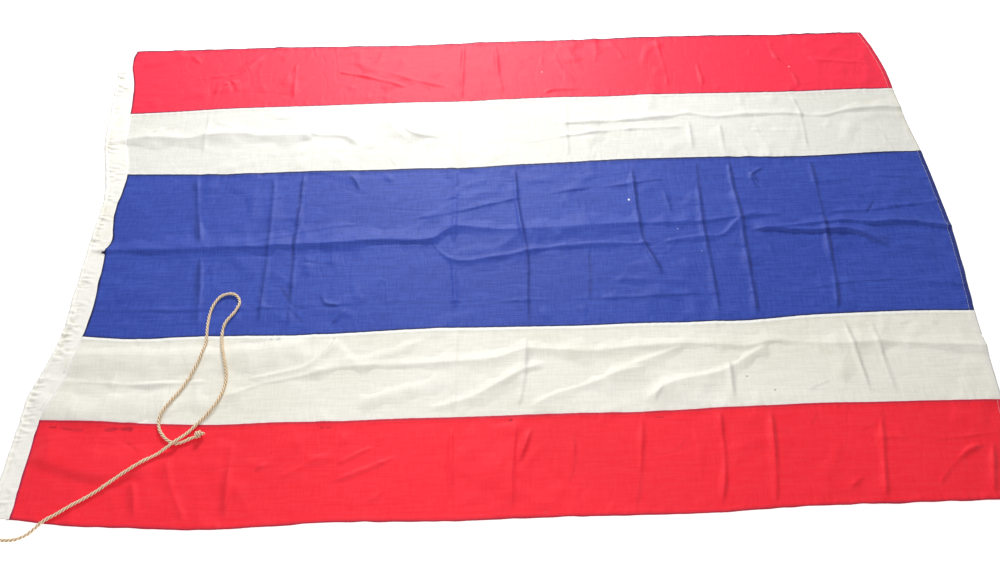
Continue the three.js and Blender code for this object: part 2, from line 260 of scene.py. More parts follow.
# Broad folds, from the hoist to the fly, so that the left side faces the upper edge.
BROAD_FOLDS = (
    Fold(((-0.930, -0.004), (-0.859, -0.009), (-0.748, -0.013), (-0.634, -0.012), (-0.538, -0.012),
          (-0.444, -0.009), (-0.364, -0.009), (-0.266, -0.004), (-0.177, -0.007), (-0.130, 0.004)),
         7.5, 60, 26),
    Fold(((-0.200, -0.006), (-0.160, -0.006), (-0.104, 0.028), (-0.013, 0.018), (0.112, 0.018),
          (0.276, 0.024), (0.420, 0.026)), 6.2, 46, 44),
    Fold(((-0.190, -0.008), (-0.160, -0.010), (-0.107, -0.059), (-0.015, -0.052), (0.069, -0.036),
          (0.170, -0.027), (0.287, -0.028), (0.393, -0.017), (0.458, -0.012), (0.501, 0.028),
          (0.560, 0.050)), 3.9, 13, 16),
    Fold(((0.515, -0.002), (0.570, -0.004), (0.635, -0.009), (0.721, -0.010), (0.762, -0.030),
          (0.800, -0.056)), 8.5, 50, 9),
    Fold(((0.530, -0.002), (0.596, 0.003), (0.680, 0.012), (0.735, 0.012), (0.770, 0.006), (0.848, 0.008),
          (0.905, -0.002), (0.960, -0.012)), 7.5, 34, 10),
    Fold(((0.300, 0.020), (0.418, 0.023), (0.501, 0.033), (0.646, 0.040), (0.775, 0.042), (0.862, 0.052),
          (0.960, 0.064)), 3.4, 26, 8),
    Fold(((-0.930, 0.296), (-0.882, 0.303), (-0.813, 0.309), (-0.726, 0.303), (-0.674, 0.312),
          (-0.609, 0.314), (-0.565, 0.307), (-0.488, 0.304), (-0.423, 0.302)), 7.6, 44, 50),
    Fold(((-0.470, 0.316), (-0.417, 0.304), (-0.360, 0.296), (-0.325, 0.262)), 6.2, 34, 26),
    Fold(((0.020, 0.312), (0.120, 0.318), (0.227, 0.320), (0.312, 0.323), (0.384, 0.330), (0.432, 0.338),
          (0.487, 0.326), (0.559, 0.329), (0.653, 0.329), (0.736, 0.319), (0.796, 0.333), (0.877, 0.339),
          (0.950, 0.330)), 4.4, 30, 12),
    Fold(((-0.920, -0.312), (-0.865, -0.317), (-0.781, -0.324), (-0.725, -0.330), (-0.671, -0.329),
          (-0.593, -0.327), (-0.519, -0.325), (-0.455, -0.315), (-0.393, -0.300), (-0.355, -0.268),
          (-0.332, -0.230)), 0.5, 20, 20, Crest.ROUND),
    Fold(((-0.930, -0.262), (-0.840, -0.266), (-0.700, -0.270), (-0.560, -0.268), (-0.450, -0.260),
          (-0.390, -0.244)), 6.4, 28, 62, Crest.ROUND),
    Fold(((-0.920, -0.368), (-0.800, -0.374), (-0.690, -0.378), (-0.590, -0.374), (-0.480, -0.360)),
         5.4, 46, 56, Crest.ROUND),
    Fold(((-0.400, -0.314), (-0.300, -0.303), (-0.188, -0.302), (-0.107, -0.298), (-0.025, -0.293),
          (0.039, -0.275), (0.154, -0.283), (0.255, -0.276), (0.353, -0.272), (0.467, -0.280),
          (0.518, -0.270), (0.581, -0.276), (0.645, -0.281), (0.729, -0.278), (0.804, -0.286),
          (0.950, -0.296)), 5.4, 38, 30),
    Fold(((0.031, -0.403), (0.093, -0.370), (0.154, -0.353), (0.214, -0.330), (0.275, -0.318)), 5.5, 22, 48),
    Fold(((0.245, -0.399), (0.310, -0.356), (0.404, -0.335), (0.472, -0.298), (0.515, -0.274)), 6.6, 24, 58),
    Fold(((0.174, -0.338), (0.222, -0.323), (0.327, -0.282), (0.360, -0.268)), 4.0, 18, 32),
    Fold(((-0.162, -0.399), (-0.105, -0.386), (-0.059, -0.369), (0.034, -0.318), (0.080, -0.305)),
         5.0, 20, 44),
    Fold(((-0.900, -0.466), (-0.841, -0.484), (-0.795, -0.500), (-0.754, -0.508), (-0.691, -0.504),
          (-0.650, -0.512)), 6.0, 70, 26, Crest.ROUND),
    Fold(((-0.960, 0.474), (-0.892, 0.476), (-0.831, 0.485), (-0.721, 0.503), (-0.673, 0.507),
          (-0.633, 0.517), (-0.599, 0.562), (-0.577, 0.590)), 2.8, 26, 14),
)

# Creases of the broad cloth that run lengthwise.
LONG_CREASES = (
    Fold(((-0.920, -0.312), (-0.865, -0.317), (-0.781, -0.324), (-0.725, -0.330), (-0.671, -0.329),
          (-0.593, -0.327), (-0.519, -0.325), (-0.455, -0.315), (-0.393, -0.300), (-0.355, -0.268),
          (-0.332, -0.230)), 2.6, 7, 24),
    Fold(((-0.585, -0.006), (-0.504, 0.009), (-0.424, 0.027), (-0.343, 0.039), (-0.211, 0.053),
          (-0.108, 0.067), (0.005, 0.095), (0.159, 0.121), (0.265, 0.131), (0.351, 0.144), (0.456, 0.143),
          (0.557, 0.138), (0.700, 0.125), (0.811, 0.135), (0.950, 0.123)), 1.3, 20, 6),
    Fold(((-0.560, -0.026), (-0.346, -0.065), (-0.202, -0.077), (-0.063, -0.089), (0.080, -0.107)),
         -1.0, 7, 9),
    Fold(((-0.860, -0.158), (-0.638, -0.165), (-0.500, -0.163), (-0.340, -0.160), (-0.226, -0.156),
          (-0.055, -0.162), (0.088, -0.162), (0.280, -0.161), (0.412, -0.156), (0.593, -0.155),
          (0.662, -0.143), (0.795, -0.135), (0.950, -0.158)), 1.3, 16, 6),
    Fold(((0.073, -0.113), (0.262, -0.119), (0.358, -0.127), (0.533, -0.132)), 1.0, 14, 7),
    Fold(((-0.661, 0.127), (-0.514, 0.121), (-0.325, 0.136), (-0.202, 0.132)), 0.8, 12, 8),
    Fold(((0.017, 0.265), (0.073, 0.266), (0.139, 0.279), (0.271, 0.293), (0.366, 0.295), (0.422, 0.296)),
         2.4, 18, 8),
    Fold(((0.504, 0.280), (0.569, 0.281), (0.689, 0.273)), 1.4, 14, 9),
    Fold(((0.652, -0.486), (0.691, -0.477), (0.749, -0.484), (0.841, -0.478), (0.950, -0.464)),
         1.9, 16, 7),
    Fold(((0.639, 0.512), (0.784, 0.499), (0.930, 0.480)), 1.5, 22, 12),
    Fold(((-0.851, -0.420), (-0.640, -0.432), (-0.440, -0.436)), -0.8, 16, 16, Crest.ROUND),
)

# Upright creases left by folding, each from the top down: places and rises differ from band to band.
UPRIGHT_CREASES = (
    Fold(((-0.690, 0.198), (-0.668, 0.090), (-0.645, -0.008)), 1.3, 11, 20),
    Fold(((-0.645, -0.020), (-0.632, -0.100), (-0.619, -0.215)), 1.4, 10.5, 22),
    Fold(((-0.513, 0.190), (-0.504, 0.060), (-0.500, -0.060), (-0.497, -0.215)), 0.9, 10, 14),
    Fold(((-0.445, 0.195), (-0.444, 0.017), (-0.440, -0.128), (-0.435, -0.219)), 1.2, 9.5, 12),
    Fold(((-0.456, 0.030), (-0.452, -0.060)), -0.9, 9, 6),
    Fold(((-0.105, 0.195), (-0.108, 0.031), (-0.109, -0.063), (-0.103, -0.185)), 1.5, 9.5, 13),
    Fold(((-0.195, -0.041), (-0.191, -0.164)), 0.9, 9.5, 10),
    Fold(((0.023, 0.198), (0.031, 0.052), (0.044, -0.049), (0.041, -0.158), (0.042, -0.221)), 1.7, 9.5, 13),
    Fold(((0.174, -0.029), (0.165, -0.176)), 1.0, 10.5, 12),
    Fold(((0.285, 0.190), (0.284, 0.100), (0.286, 0.043), (0.289, -0.018), (0.306, -0.068), (0.324, -0.120)),
         2.0, 9.5, 15),
    Fold(((0.349, 0.125), (0.359, 0.040)), 1.3, 9.5, 12),
    Fold(((0.430, 0.202), (0.421, 0.038), (0.422, -0.062), (0.423, -0.138), (0.421, -0.215)), 1.5, 10, 14),
    Fold(((0.502, 0.196), (0.501, 0.109), (0.504, 0.035), (0.501, -0.065), (0.499, -0.150), (0.496, -0.217)),
         2.0, 9.5, 16),
    Fold(((0.682, 0.195), (0.681, 0.089), (0.673, -0.065), (0.669, -0.127), (0.658, -0.206)), 1.7, 10, 15),
    Fold(((-0.506, 0.600), (-0.500, 0.500), (-0.495, 0.410)), 1.0, 10, 13),
    Fold(((-0.090, 0.600), (-0.096, 0.398)), 1.8, 9.5, 14),
    Fold(((-0.013, 0.600), (-0.007, 0.490), (0.006, 0.404)), 1.3, 10, 14),
    Fold(((0.103, 0.590), (0.099, 0.480)), 1.0, 10, 12),
    Fold(((0.385, 0.600), (0.397, 0.480), (0.396, 0.408)), 1.5, 10, 16),
    Fold(((0.461, 0.600), (0.479, 0.470), (0.475, 0.405)), 1.2, 10, 14),
    Fold(((0.662, 0.590), (0.666, 0.525), (0.698, 0.460), (0.706, 0.402)), 1.4, 10, 14),
    Fold(((-0.690, 0.398), (-0.684, 0.205)), 0.8, 11, 16),
    Fold(((-0.100, 0.395), (-0.104, 0.198)), 0.9, 10.5, 12),
    Fold(((0.150, 0.398), (0.146, 0.205)), 1.0, 10.5, 12),
    Fold(((0.430, 0.330), (0.428, 0.212)), 1.2, 10.5, 12),
    Fold(((0.500, 0.318), (0.497, 0.212)), 1.1, 10.5, 12),
    Fold(((0.676, 0.398), (0.690, 0.330), (0.684, 0.208)), 1.3, 10.5, 12),
    Fold(((-0.100, -0.224), (-0.106, -0.410)), 1.3, 10, 12),
    Fold(((0.036, -0.224), (0.030, -0.330), (0.014, -0.408)), 1.5, 10, 14),
    Fold(((0.300, -0.345), (0.262, -0.405)), 1.0, 10.5, 12),
    Fold(((0.425, -0.300), (0.420, -0.402)), 1.2, 10, 12),
    Fold(((0.664, -0.216), (0.680, -0.400)), 1.4, 10, 13),
    Fold(((0.715, -0.214), (0.726, -0.400)), 1.1, 10.5, 12),
    Fold(((-0.692, -0.515), (-0.678, -0.545), (-0.666, -0.600)), 1.6, 11, 22),
    Fold(((-0.632, -0.480), (-0.613, -0.535), (-0.587, -0.583), (-0.575, -0.612)), 1.9, 10.5, 24),
    Fold(((-0.515, -0.440), (-0.507, -0.605)), 1.5, 10, 18),
    Fold(((-0.109, -0.417), (-0.109, -0.522), (-0.108, -0.608)), 1.5, 10, 14),
    Fold(((0.012, -0.421), (0.004, -0.500), (-0.003, -0.604)), 1.4, 10.5, 15),
    Fold(((0.044, -0.430), (0.021, -0.489), (0.010, -0.515)), 2.2, 10, 16),
    Fold(((0.114, -0.440), (0.114, -0.503), (0.098, -0.560)), 1.3, 10.5, 15),
    Fold(((0.248, -0.418), (0.232, -0.531), (0.214, -0.605)), 1.3, 10.5, 15),
    Fold(((0.390, -0.412), (0.385, -0.520), (0.367, -0.604)), 1.9, 9.5, 16),
    Fold(((0.486, -0.412), (0.473, -0.538), (0.461, -0.600)), 1.9, 10, 16),
    Fold(((0.691, -0.408), (0.678, -0.480), (0.655, -0.597)), 1.8, 10, 14),
    Fold(((0.877, -0.480), (0.842, -0.596)), 1.4, 10.5, 14),
)

# Short creases and crumples.
SHORT_CREASES = (
    Fold(((-0.465, 0.077), (-0.439, 0.111)), -1.9, 5, 6, fade=14),
    Fold(((-0.345, 0.184), (-0.328, 0.162), (-0.316, 0.133)), 1.8, 6, 11, fade=14),
    Fold(((-0.471, -0.108), (-0.450, -0.142), (-0.430, -0.163), (-0.404, -0.167)), -2.0, 6, 8, fade=16),
    Fold(((-0.443, -0.165), (-0.410, -0.204)), -1.6, 5, 7, fade=14),
    Fold(((-0.350, -0.209), (-0.323, -0.169)), 1.8, 10, 7, fade=14),
    Fold(((-0.379, -0.131), (-0.368, -0.156), (-0.335, -0.164)), 1.5, 10, 7, fade=14),
    Fold(((-0.103, -0.190), (-0.086, -0.172), (-0.059, -0.164)), -1.5, 6, 8, fade=14),
    Fold(((-0.113, 0.115), (-0.102, 0.142), (-0.090, 0.119)), -1.5, 6, 7, fade=12),
    Fold(((-0.125, 0.105), (-0.100, 0.112)), 1.4, 8, 6, fade=12),
    Fold(((0.134, 0.188), (0.183, 0.164)), 1.3, 9, 6, fade=16),
    Fold(((0.466, -0.039), (0.516, -0.051), (0.560, -0.072)), -1.5, 6, 9, fade=18),
    Fold(((0.559, 0.101), (0.545, 0.145), (0.580, 0.172)), 1.5, 9, 7, fade=16),
    Fold(((0.500, 0.168), (0.520, 0.150), (0.548, 0.143)), -1.4, 6, 8, fade=14),
    Fold(((0.540, 0.172), (0.560, 0.120)), 1.3, 7, 9, fade=14),
    Fold(((0.771, 0.029), (0.785, 0.048), (0.801, 0.072)), -1.6, 5, 7, fade=14),
    Fold(((-0.876, 0.296), (-0.839, 0.267), (-0.770, 0.244)), -2.4, 22, 14, Crest.ROUND),
    Fold(((-0.816, 0.322), (-0.789, 0.347)), 1.6, 14, 10, fade=16),
    Fold(((-0.687, 0.322), (-0.667, 0.343), (-0.621, 0.320)), -1.9, 12, 12, Crest.ROUND, 20),
    Fold(((-0.587, 0.324), (-0.550, 0.338), (-0.512, 0.344), (-0.473, 0.309)), -2.6, 16, 16, Crest.ROUND, 25),
    Fold(((-0.471, 0.290), (-0.395, 0.262), (-0.360, 0.243), (-0.329, 0.202)), -2.6, 17, 17, Crest.ROUND, 25),
    Fold(((-0.234, 0.332), (-0.204, 0.299), (-0.138, 0.284)), 1.4, 16, 9, fade=22),
    Fold(((-0.257, 0.232), (-0.237, 0.198)), 1.0, 8, 6, fade=10),
    Fold(((0.032, 0.315), (0.089, 0.311), (0.161, 0.323)), -1.9, 13, 13, Crest.ROUND, 20),
    Fold(((0.425, 0.322), (0.452, 0.311), (0.480, 0.298)), -2.2, 14, 14, Crest.ROUND, 16),
    Fold(((0.017, 0.262), (0.005, 0.240), (-0.008, 0.225)), 1.0, 8, 8, fade=14),
    Fold(((-0.811, -0.349), (-0.731, -0.338), (-0.691, -0.344), (-0.646, -0.336)),
         -1.8, 12, 16, Crest.ROUND, 28),
    Fold(((-0.551, -0.369), (-0.517, -0.350), (-0.471, -0.335), (-0.399, -0.321), (-0.337, -0.308)),
         2.0, 12, 18),
    Fold(((-0.338, -0.298), (-0.272, -0.281), (-0.205, -0.272), (-0.187, -0.247)), 2.0, 18, 14, Crest.ROUND),
    Fold(((-0.300, -0.385), (-0.204, -0.359), (-0.151, -0.339), (-0.115, -0.316)), 3.6, 20, 34, Crest.ROUND),
    Fold(((-0.055, -0.360), (0.004, -0.333), (0.035, -0.290), (0.062, -0.246)), 1.7, 16, 14, Crest.ROUND),
    Fold(((0.011, -0.329), (0.066, -0.326), (0.151, -0.329), (0.203, -0.324)), -1.8, 12, 12, Crest.ROUND, 26),
    Fold(((0.559, -0.383), (0.581, -0.367), (0.615, -0.357)), 1.2, 12, 10, fade=18),
    Fold(((0.760, -0.240), (0.800, -0.232)), 0.9, 9, 8, fade=16),
    Fold(((-0.777, 0.593), (-0.737, 0.550), (-0.673, 0.507)), 1.7, 13, 9),
    Fold(((-0.673, 0.507), (-0.640, 0.500), (-0.590, 0.540)), -1.7, 9, 11, fade=18),
    Fold(((-0.691, 0.440), (-0.676, 0.473), (-0.638, 0.488)), 1.9, 12, 9, fade=18),
    Fold(((-0.673, 0.507), (-0.650, 0.470), (-0.640, 0.440)), -1.5, 8, 10, fade=18),
    Fold(((-0.463, 0.524), (-0.418, 0.480), (-0.374, 0.443)), -2.1, 7, 10, fade=22),
    Fold(((-0.406, 0.511), (-0.315, 0.486), (-0.219, 0.447)), 2.2, 11, 8, fade=25),
    Fold(((-0.359, 0.484), (-0.332, 0.449), (-0.302, 0.437)), -1.7, 7, 9, fade=18),
    Fold(((-0.307, 0.521), (-0.240, 0.486), (-0.121, 0.443)), 1.4, 14, 10, fade=30),
    Fold(((-0.473, 0.545), (-0.442, 0.503)), 1.2, 8, 8, fade=16),
    Fold(((0.093, 0.411), (0.128, 0.429), (0.201, 0.426)), 1.1, 10, 8, fade=20),
    Fold(((0.246, 0.445), (0.290, 0.492)), 1.4, 12, 9, fade=20),
    Fold(((0.698, 0.460), (0.650, 0.492), (0.615, 0.530)), 1.5, 10, 10, fade=20),
    Fold(((-0.721, -0.443), (-0.697, -0.462), (-0.683, -0.474)), -2.0, 8, 10, fade=14),
    Fold(((-0.466, -0.513), (-0.443, -0.495)), 1.4, 8, 8, fade=14),
    Fold(((-0.425, -0.528), (-0.379, -0.504), (-0.337, -0.478)), 2.2, 10, 12, fade=24),
    Fold(((-0.320, -0.506), (-0.283, -0.484), (-0.246, -0.467)), 2.0, 10, 12, fade=22),
    Fold(((-0.331, -0.538), (-0.250, -0.508), (-0.182, -0.476), (-0.162, -0.454)), 2.3, 13, 14, fade=30),
    Fold(((-0.221, -0.541), (-0.234, -0.558), (-0.260, -0.575)), 1.8, 12, 9, fade=18),
    Fold(((0.296, -0.493), (0.331, -0.460)), 1.4, 12, 10, fade=20),
    Fold(((0.639, -0.468), (0.683, -0.448)), -2.2, 6, 8, fade=14),
    Fold(((0.652, -0.488), (0.668, -0.478)), -1.4, 5, 6, fade=8),
    Fold(((0.747, -0.576), (0.781, -0.540), (0.827, -0.504), (0.865, -0.495)), 2.3, 13, 14, fade=30),
    Fold(((0.590, -0.575), (0.632, -0.545)), 1.6, 14, 12, fade=22),
    Fold(((0.545, -0.454), (0.574, -0.418)), 1.4, 12, 10, fade=18),
)


# --------------------------------------------------------------------------- the cloth's surface


def soft_noise(x: np.ndarray, y: np.ndarray, seed: int, length: float, stretch: float = 1.0) -> np.ndarray:
    """Return smooth waves of about unit height over the cloth.

    Args:
        x: Places along the flag, in metres.
        y: Places across the flag, in metres.
        seed: Seed of the waves' directions and phases.
        length: Usual wave length, in metres.
        stretch: How many times longer the waves are along x.

    Returns:
        The waves' height at each place.
    """
    waves = 26
    rng = np.random.default_rng(seed)
    angle = rng.uniform(0, 2 * math.pi, waves)
    pitch = rng.uniform(0.6, 1.7, waves) * 2 * math.pi / length
    phase = rng.uniform(0, 2 * math.pi, waves)
    total = np.zeros(np.shape(x))
    for a, k, p in zip(angle, pitch, phase):
        total += np.sin(k * (x * math.cos(a) / stretch + y * math.sin(a)) + p)
    return total / math.sqrt(waves / 2)


@dataclass(frozen=True)
class ClothSurface:
    """The shape in which the flag lies.

    Attributes:
        face: Height of the cloth's face where it lies flat, in millimetres.
        lowest: Lowest height of the face, in millimetres.
        swell: Height of the cloth's broad unevenness, in millimetres.
        crumple: Height of its finer unevenness, in millimetres.
        ridges: Height of the wandering ridges between the creases, in millimetres.
        press: How much stronger the upright creases are than their stated rise.
    """

    face: float = 2.6
    lowest: float = 0.75
    swell: float = 0.85
    crumple: float = 0.27
    ridges: float = 1.3
    press: float = 2.0

    def rise(self, x: np.ndarray, y: np.ndarray) -> np.ndarray:
        """Return how far the broad folds lift the cloth, in metres."""
        total = np.zeros(len(x))
        for fold in BROAD_FOLDS:
            height = fold.height(x, y)
            total = np.maximum(total, height) + 0.3 * np.minimum(total, height)
        return total

    def creases(self, x: np.ndarray, y: np.ndarray) -> np.ndarray:
        """Return the height of the finer creases, in metres."""
        soft = [fold for fold in (*LONG_CREASES, *SHORT_CREASES) if fold.crest is Crest.ROUND]
        return sum(fold.height(x, y) for fold in soft) + self.sharp(x, y)

    def sharp(self, x: np.ndarray, y: np.ndarray) -> np.ndarray:
        """Return the height of the sharply pressed creases, stronger in some stretches than others."""
        total = np.zeros(len(x))
        for folds, press in ((LONG_CREASES, 1.0), (SHORT_CREASES, 1.4), (UPRIGHT_CREASES, self.press)):
            total += press * sum(fold.height(x, y) for fold in folds if fold.crest is Crest.SHARP)
        return total * np.clip(1.0 + 0.3 * soft_noise(x, y, 16, 0.16), 0.5, 1.6)

    def crumples(self, x: np.ndarray, y: np.ndarray) -> np.ndarray:
        """Return the height of the wandering ridges between the creases, in metres."""
        waves = ((13, 0.30, 1.5, 1.0), (14, 0.21, 0.6, 0.8), (15, 0.12, 1.1, 0.5))
        total = np.zeros(len(x))
        for seed, length, stretch, share in waves:
            total -= share * np.sqrt(soft_noise(x, y, seed, length, stretch) ** 2 + 0.006)
        return self.ridges * MM * total

    def pressed(self, x: np.ndarray, y: np.ndarray) -> np.ndarray:
        """Return how much painted shade each place gets on the side of a sharp crease that faces away from
        the light, from 0 to 1.
        """
        step = 1.5 * MM
        across = (self.sharp(x + step, y) - self.sharp(x - step, y)) / (2 * step)
        along = (self.sharp(x, y + step) - self.sharp(x, y - step)) / (2 * step)
        painted_shade = 0.4 * along - across * np.tanh((x + 0.1) / 0.2)
        return smooth_step((painted_shade - 0.02) / 0.26)

    def top(self, x: np.ndarray, y: np.ndarray) -> np.ndarray:
        """Return the height of the cloth's face.

        Args:
            x: Places along the flag, in metres.
            y: Places across the flag, in metres.

        Returns:
            Heights above the surface, in metres.
        """
        x, y = np.ravel(x), np.ravel(y)
        uneven = self.swell * soft_noise(x, y, 11, 0.21, 1.7) + self.crumple * soft_noise(x, y, 12, 0.05, 1.3)
        height = self.face * MM + self.rise(x, y) + self.creases(x, y) + self.crumples(x, y) + uneven * MM
        return np.maximum(height, self.lowest * MM)


def new_object(name: str, mesh: bpy.types.Mesh) -> bpy.types.Object:
    """Add a mesh to the scene as a piece at the origin."""
    piece = bpy.data.objects.new(name, mesh)
    bpy.context.scene.collection.objects.link(piece)
    return piece


def mesh_from(name: str, points: np.ndarray, faces: list[tuple[int, ...]],
              smooth: bool = True) -> bpy.types.Mesh:
    """Make a mesh from points and faces.

    Args:
        name: The mesh's name.
        points: Its points, one row each, in metres.
        faces: Its faces, as indices of points.
        smooth: Whether the faces are shaded smooth.

    Returns:
        The new mesh.
    """
    mesh = bpy.data.meshes.new(name)
    mesh.from_pydata(points.tolist(), [], faces)
    mesh.polygons.foreach_set("use_smooth", [smooth] * len(faces))
    mesh.update()
    return mesh


def set_attribute(mesh: bpy.types.Mesh, name: str, values: np.ndarray) -> None:
    """Store one number for each point of a mesh."""
    mesh.attributes.new(name, "FLOAT", "POINT").data.foreach_set("value", values.astype(np.float32))


def set_uv(mesh: bpy.types.Mesh, flat: np.ndarray) -> None:
    """Store each point's place on the flat cloth, in metres, as the mesh's UV map."""
    corners = np.empty(len(mesh.loops), dtype=np.int32)
    mesh.loops.foreach_get("vertex_index", corners)
    mesh.uv_layers.new(name="cloth").data.foreach_set("uv", flat[corners].astype(np.float32).ravel())


def lowest_around(heights: np.ndarray, reach: int) -> np.ndarray:
    """Return, for a grid of heights, the lowest within some rows and columns of each place."""
    low = heights.copy()
    for shift in range(1, reach + 1):
        for axis in (0, 1):
            ahead, behind = np.roll(heights, shift, axis), np.roll(heights, -shift, axis)
            edge = (slice(None),) * axis
            ahead[(*edge, slice(0, shift))] = heights[(*edge, slice(0, shift))]
            behind[(*edge, slice(-shift, None))] = heights[(*edge, slice(-shift, None))]
            low = np.minimum(low, np.minimum(ahead, behind))
    return low


def thin_sheet(name: str, x: np.ndarray, y: np.ndarray, top: np.ndarray, under: np.ndarray,
               keep: int) -> bpy.types.Mesh:
    """Make a closed sheet from a fine grid above and a coarser one below.

    Args:
        name: The mesh's name.
        x: The grid's x, in rows from the upper edge down and columns from the hoist to the fly.
        y: The grid's y.
        top: Height of the sheet's face.
        under: Height of its underside.
        keep: The underside keeps one row in this many; the rows are a multiple of it, plus one.

    Returns:
        The mesh; its points are the face's, row by row, and then the underside's.
    """
    rows, columns = x.shape
    kept = np.arange(0, rows, keep)
    face = np.stack([x, y, top], axis=-1).reshape(-1, 3)
    back = np.stack([x[kept], y[kept], under[kept]], axis=-1).reshape(-1, 3)
    above = np.arange(rows * columns).reshape(rows, columns)
    below = len(face) + np.arange(len(back)).reshape(len(kept), columns)
    faces = quads(above[:, ::-1]) + quads(below)
    for c in range(columns - 1):
        faces.append((above[0, c], above[0, c + 1], below[0, c + 1], below[0, c]))
        faces.append((above[-1, c + 1], above[-1, c], below[-1, c], below[-1, c + 1]))
    for k, r in enumerate(kept[:-1]):
        hoist, fly = above[r:r + keep + 1, 0], above[r:r + keep + 1, -1]
        faces.append((*hoist[::-1], below[k, 0], below[k + 1, 0]))
        faces.append((*fly, below[k + 1, -1], below[k, -1]))
    return mesh_from(name, np.vstack([face, back]), faces)


def quads(grid: np.ndarray) -> list[tuple[int, ...]]:
    """Return the faces of a grid of point numbers, facing down for rows down and columns right."""
    corners = (grid[:-1, :-1], grid[:-1, 1:], grid[1:, 1:], grid[1:, :-1])
    return list(map(tuple, np.stack(corners, axis=-1).reshape(-1, 4).tolist()))


# --------------------------------------------------------------------------- finishes


class NodeBench:
    """Adds nodes to a tree and joins them."""

    def __init__(self, tree: bpy.types.NodeTree) -> None:
        """Work on a tree."""
        self.tree = tree

    def add(self, kind: str, inputs: dict[str | int, object] | None = None,
            **settings: object) -> bpy.types.Node:
        """Add a node.

        Args:
            kind: The node's type.
            inputs: Values or sockets for its inputs, by name or number.
            **settings: Values for its properties.

        Returns:
            The new node.
        """
        node = self.tree.nodes.new(kind)
        for name, value in settings.items():
            setattr(node, name, value)
        for name, value in (inputs or {}).items():
            if isinstance(value, bpy.types.NodeSocket):
                self.tree.links.new(value, node.inputs[name])
            else:
                node.inputs[name].default_value = value
        return node

    def math(self, operation: str, *values: object) -> bpy.types.NodeSocket:
        """Add a Math node and return its result."""
        return self.add("ShaderNodeMath", dict(enumerate(values)), operation=operation).outputs[0]

    def mask(self, name: str) -> bpy.types.NodeSocket:
        """Read one of the mesh's own masks and return its value."""
        return self.add("ShaderNodeAttribute", attribute_name=name).outputs["Fac"]

    def mix(self, share: object, first: object, second: object, blend: str = "MIX") -> bpy.types.NodeSocket:
        """Add a colour Mix node and return its result."""
        node = self.add("ShaderNodeMix", {0: share, 6: first, 7: second}, data_type="RGBA", blend_type=blend)
        return node.outputs[2]

    def spread(self, value: object, low: float, high: float, to_low: float = 0.0,
               to_high: float = 1.0) -> bpy.types.NodeSocket:
        """Add a smooth Map Range node and return its result."""
        inputs = {0: value, 1: low, 2: high, 3: to_low, 4: to_high}
        return self.add("ShaderNodeMapRange", inputs, interpolation_type="SMOOTHSTEP").outputs[0]

    def noise(self, vector: object, scale: float, detail: float = 3.0,
              stretch: tuple[float, float, float] = (1.0, 1.0, 1.0)) -> bpy.types.NodeSocket:
        """Add a Noise Texture on a stretched vector and return its value."""
        place = self.add("ShaderNodeMapping", {"Vector": vector, "Scale": stretch}).outputs[0]
        inputs = {"Vector": place, "Scale": scale, "Detail": detail, "Roughness": 0.55}
        return self.add("ShaderNodeTexNoise", inputs).outputs[0]


def shader_group(name: str, inputs: dict[str, str], outputs: tuple[str, ...]) -> tuple[NodeBench, dict, dict]:
    """Make an empty shader node group.

    Args:
        name: The group's name.
        inputs: Socket types by input name.
        outputs: Names of its float outputs.

    Returns:
        A bench on the group's tree, its input sockets by name, and its output sockets by name.
    """
    tree = bpy.data.node_groups.new(name, "ShaderNodeTree")
    for socket, kind in inputs.items():
        tree.interface.new_socket(socket, in_out="INPUT", socket_type=kind)
    for socket in outputs:
        tree.interface.new_socket(socket, in_out="OUTPUT", socket_type="NodeSocketFloat")
    bench = NodeBench(tree)
    given = bench.add("NodeGroupInput").outputs
    result = bench.add("NodeGroupOutput").inputs
    return bench, {s: given[s] for s in inputs}, {s: result[s] for s in outputs}


def weave_group() -> bpy.types.NodeTree:
    """Build the plain weave: thick and thin threads both ways, as a tone and as a height."""
    vector = {"Flat Place": "NodeSocketVector", "Threads": "NodeSocketFloat"}
    bench, given, result = shader_group("plain_weave", vector, ("Tone", "Height"))
    place = given["Flat Place"]
    warp = bench.noise(place, 1.0, 2.0, (30.0, 340.0, 1.0))
    weft = bench.noise(place, 1.0, 2.0, (340.0, 30.0, 1.0))
    slub = bench.noise(place, 1.0, 2.0, (9.0, 170.0, 1.0))
    threads = bench.math("MULTIPLY", bench.math("ADD", warp, weft), 0.5)
    tone = bench.math("ADD", bench.math("MULTIPLY", threads, 0.7), bench.math("MULTIPLY", slub, 0.3))
    bench.tree.links.new(bench.spread(tone, 0.40, 0.60), result["Tone"])
    split = bench.add("ShaderNodeSeparateXYZ", {0: place}).outputs
    ribs = [bench.math("SINE", bench.math("MULTIPLY", split[i], given["Threads"])) for i in (0, 1)]
    cloth = bench.math("MULTIPLY", ribs[0], ribs[1])
    bench.tree.links.new(bench.math("ADD", bench.math("MULTIPLY", cloth, 0.4), threads), result["Height"])
    return bench.tree


def soil_group() -> bpy.types.NodeTree:
    """Build the uneven soiling of long-stored cloth, as a soft mask."""
    bench, given, result = shader_group("storage_soil", {"Place": "NodeSocketVector"}, ("Cloudy", "Blotch"))
    cloudy = bench.noise(given["Place"], 3.1, 4.0, (0.8, 1.4, 1.0))
    blotch = bench.noise(given["Place"], 9.0, 3.0)
    bench.tree.links.new(bench.spread(cloudy, 0.35, 0.7), result["Cloudy"])
    bench.tree.links.new(bench.spread(blotch, 0.62, 0.8), result["Blotch"])
    return bench.tree


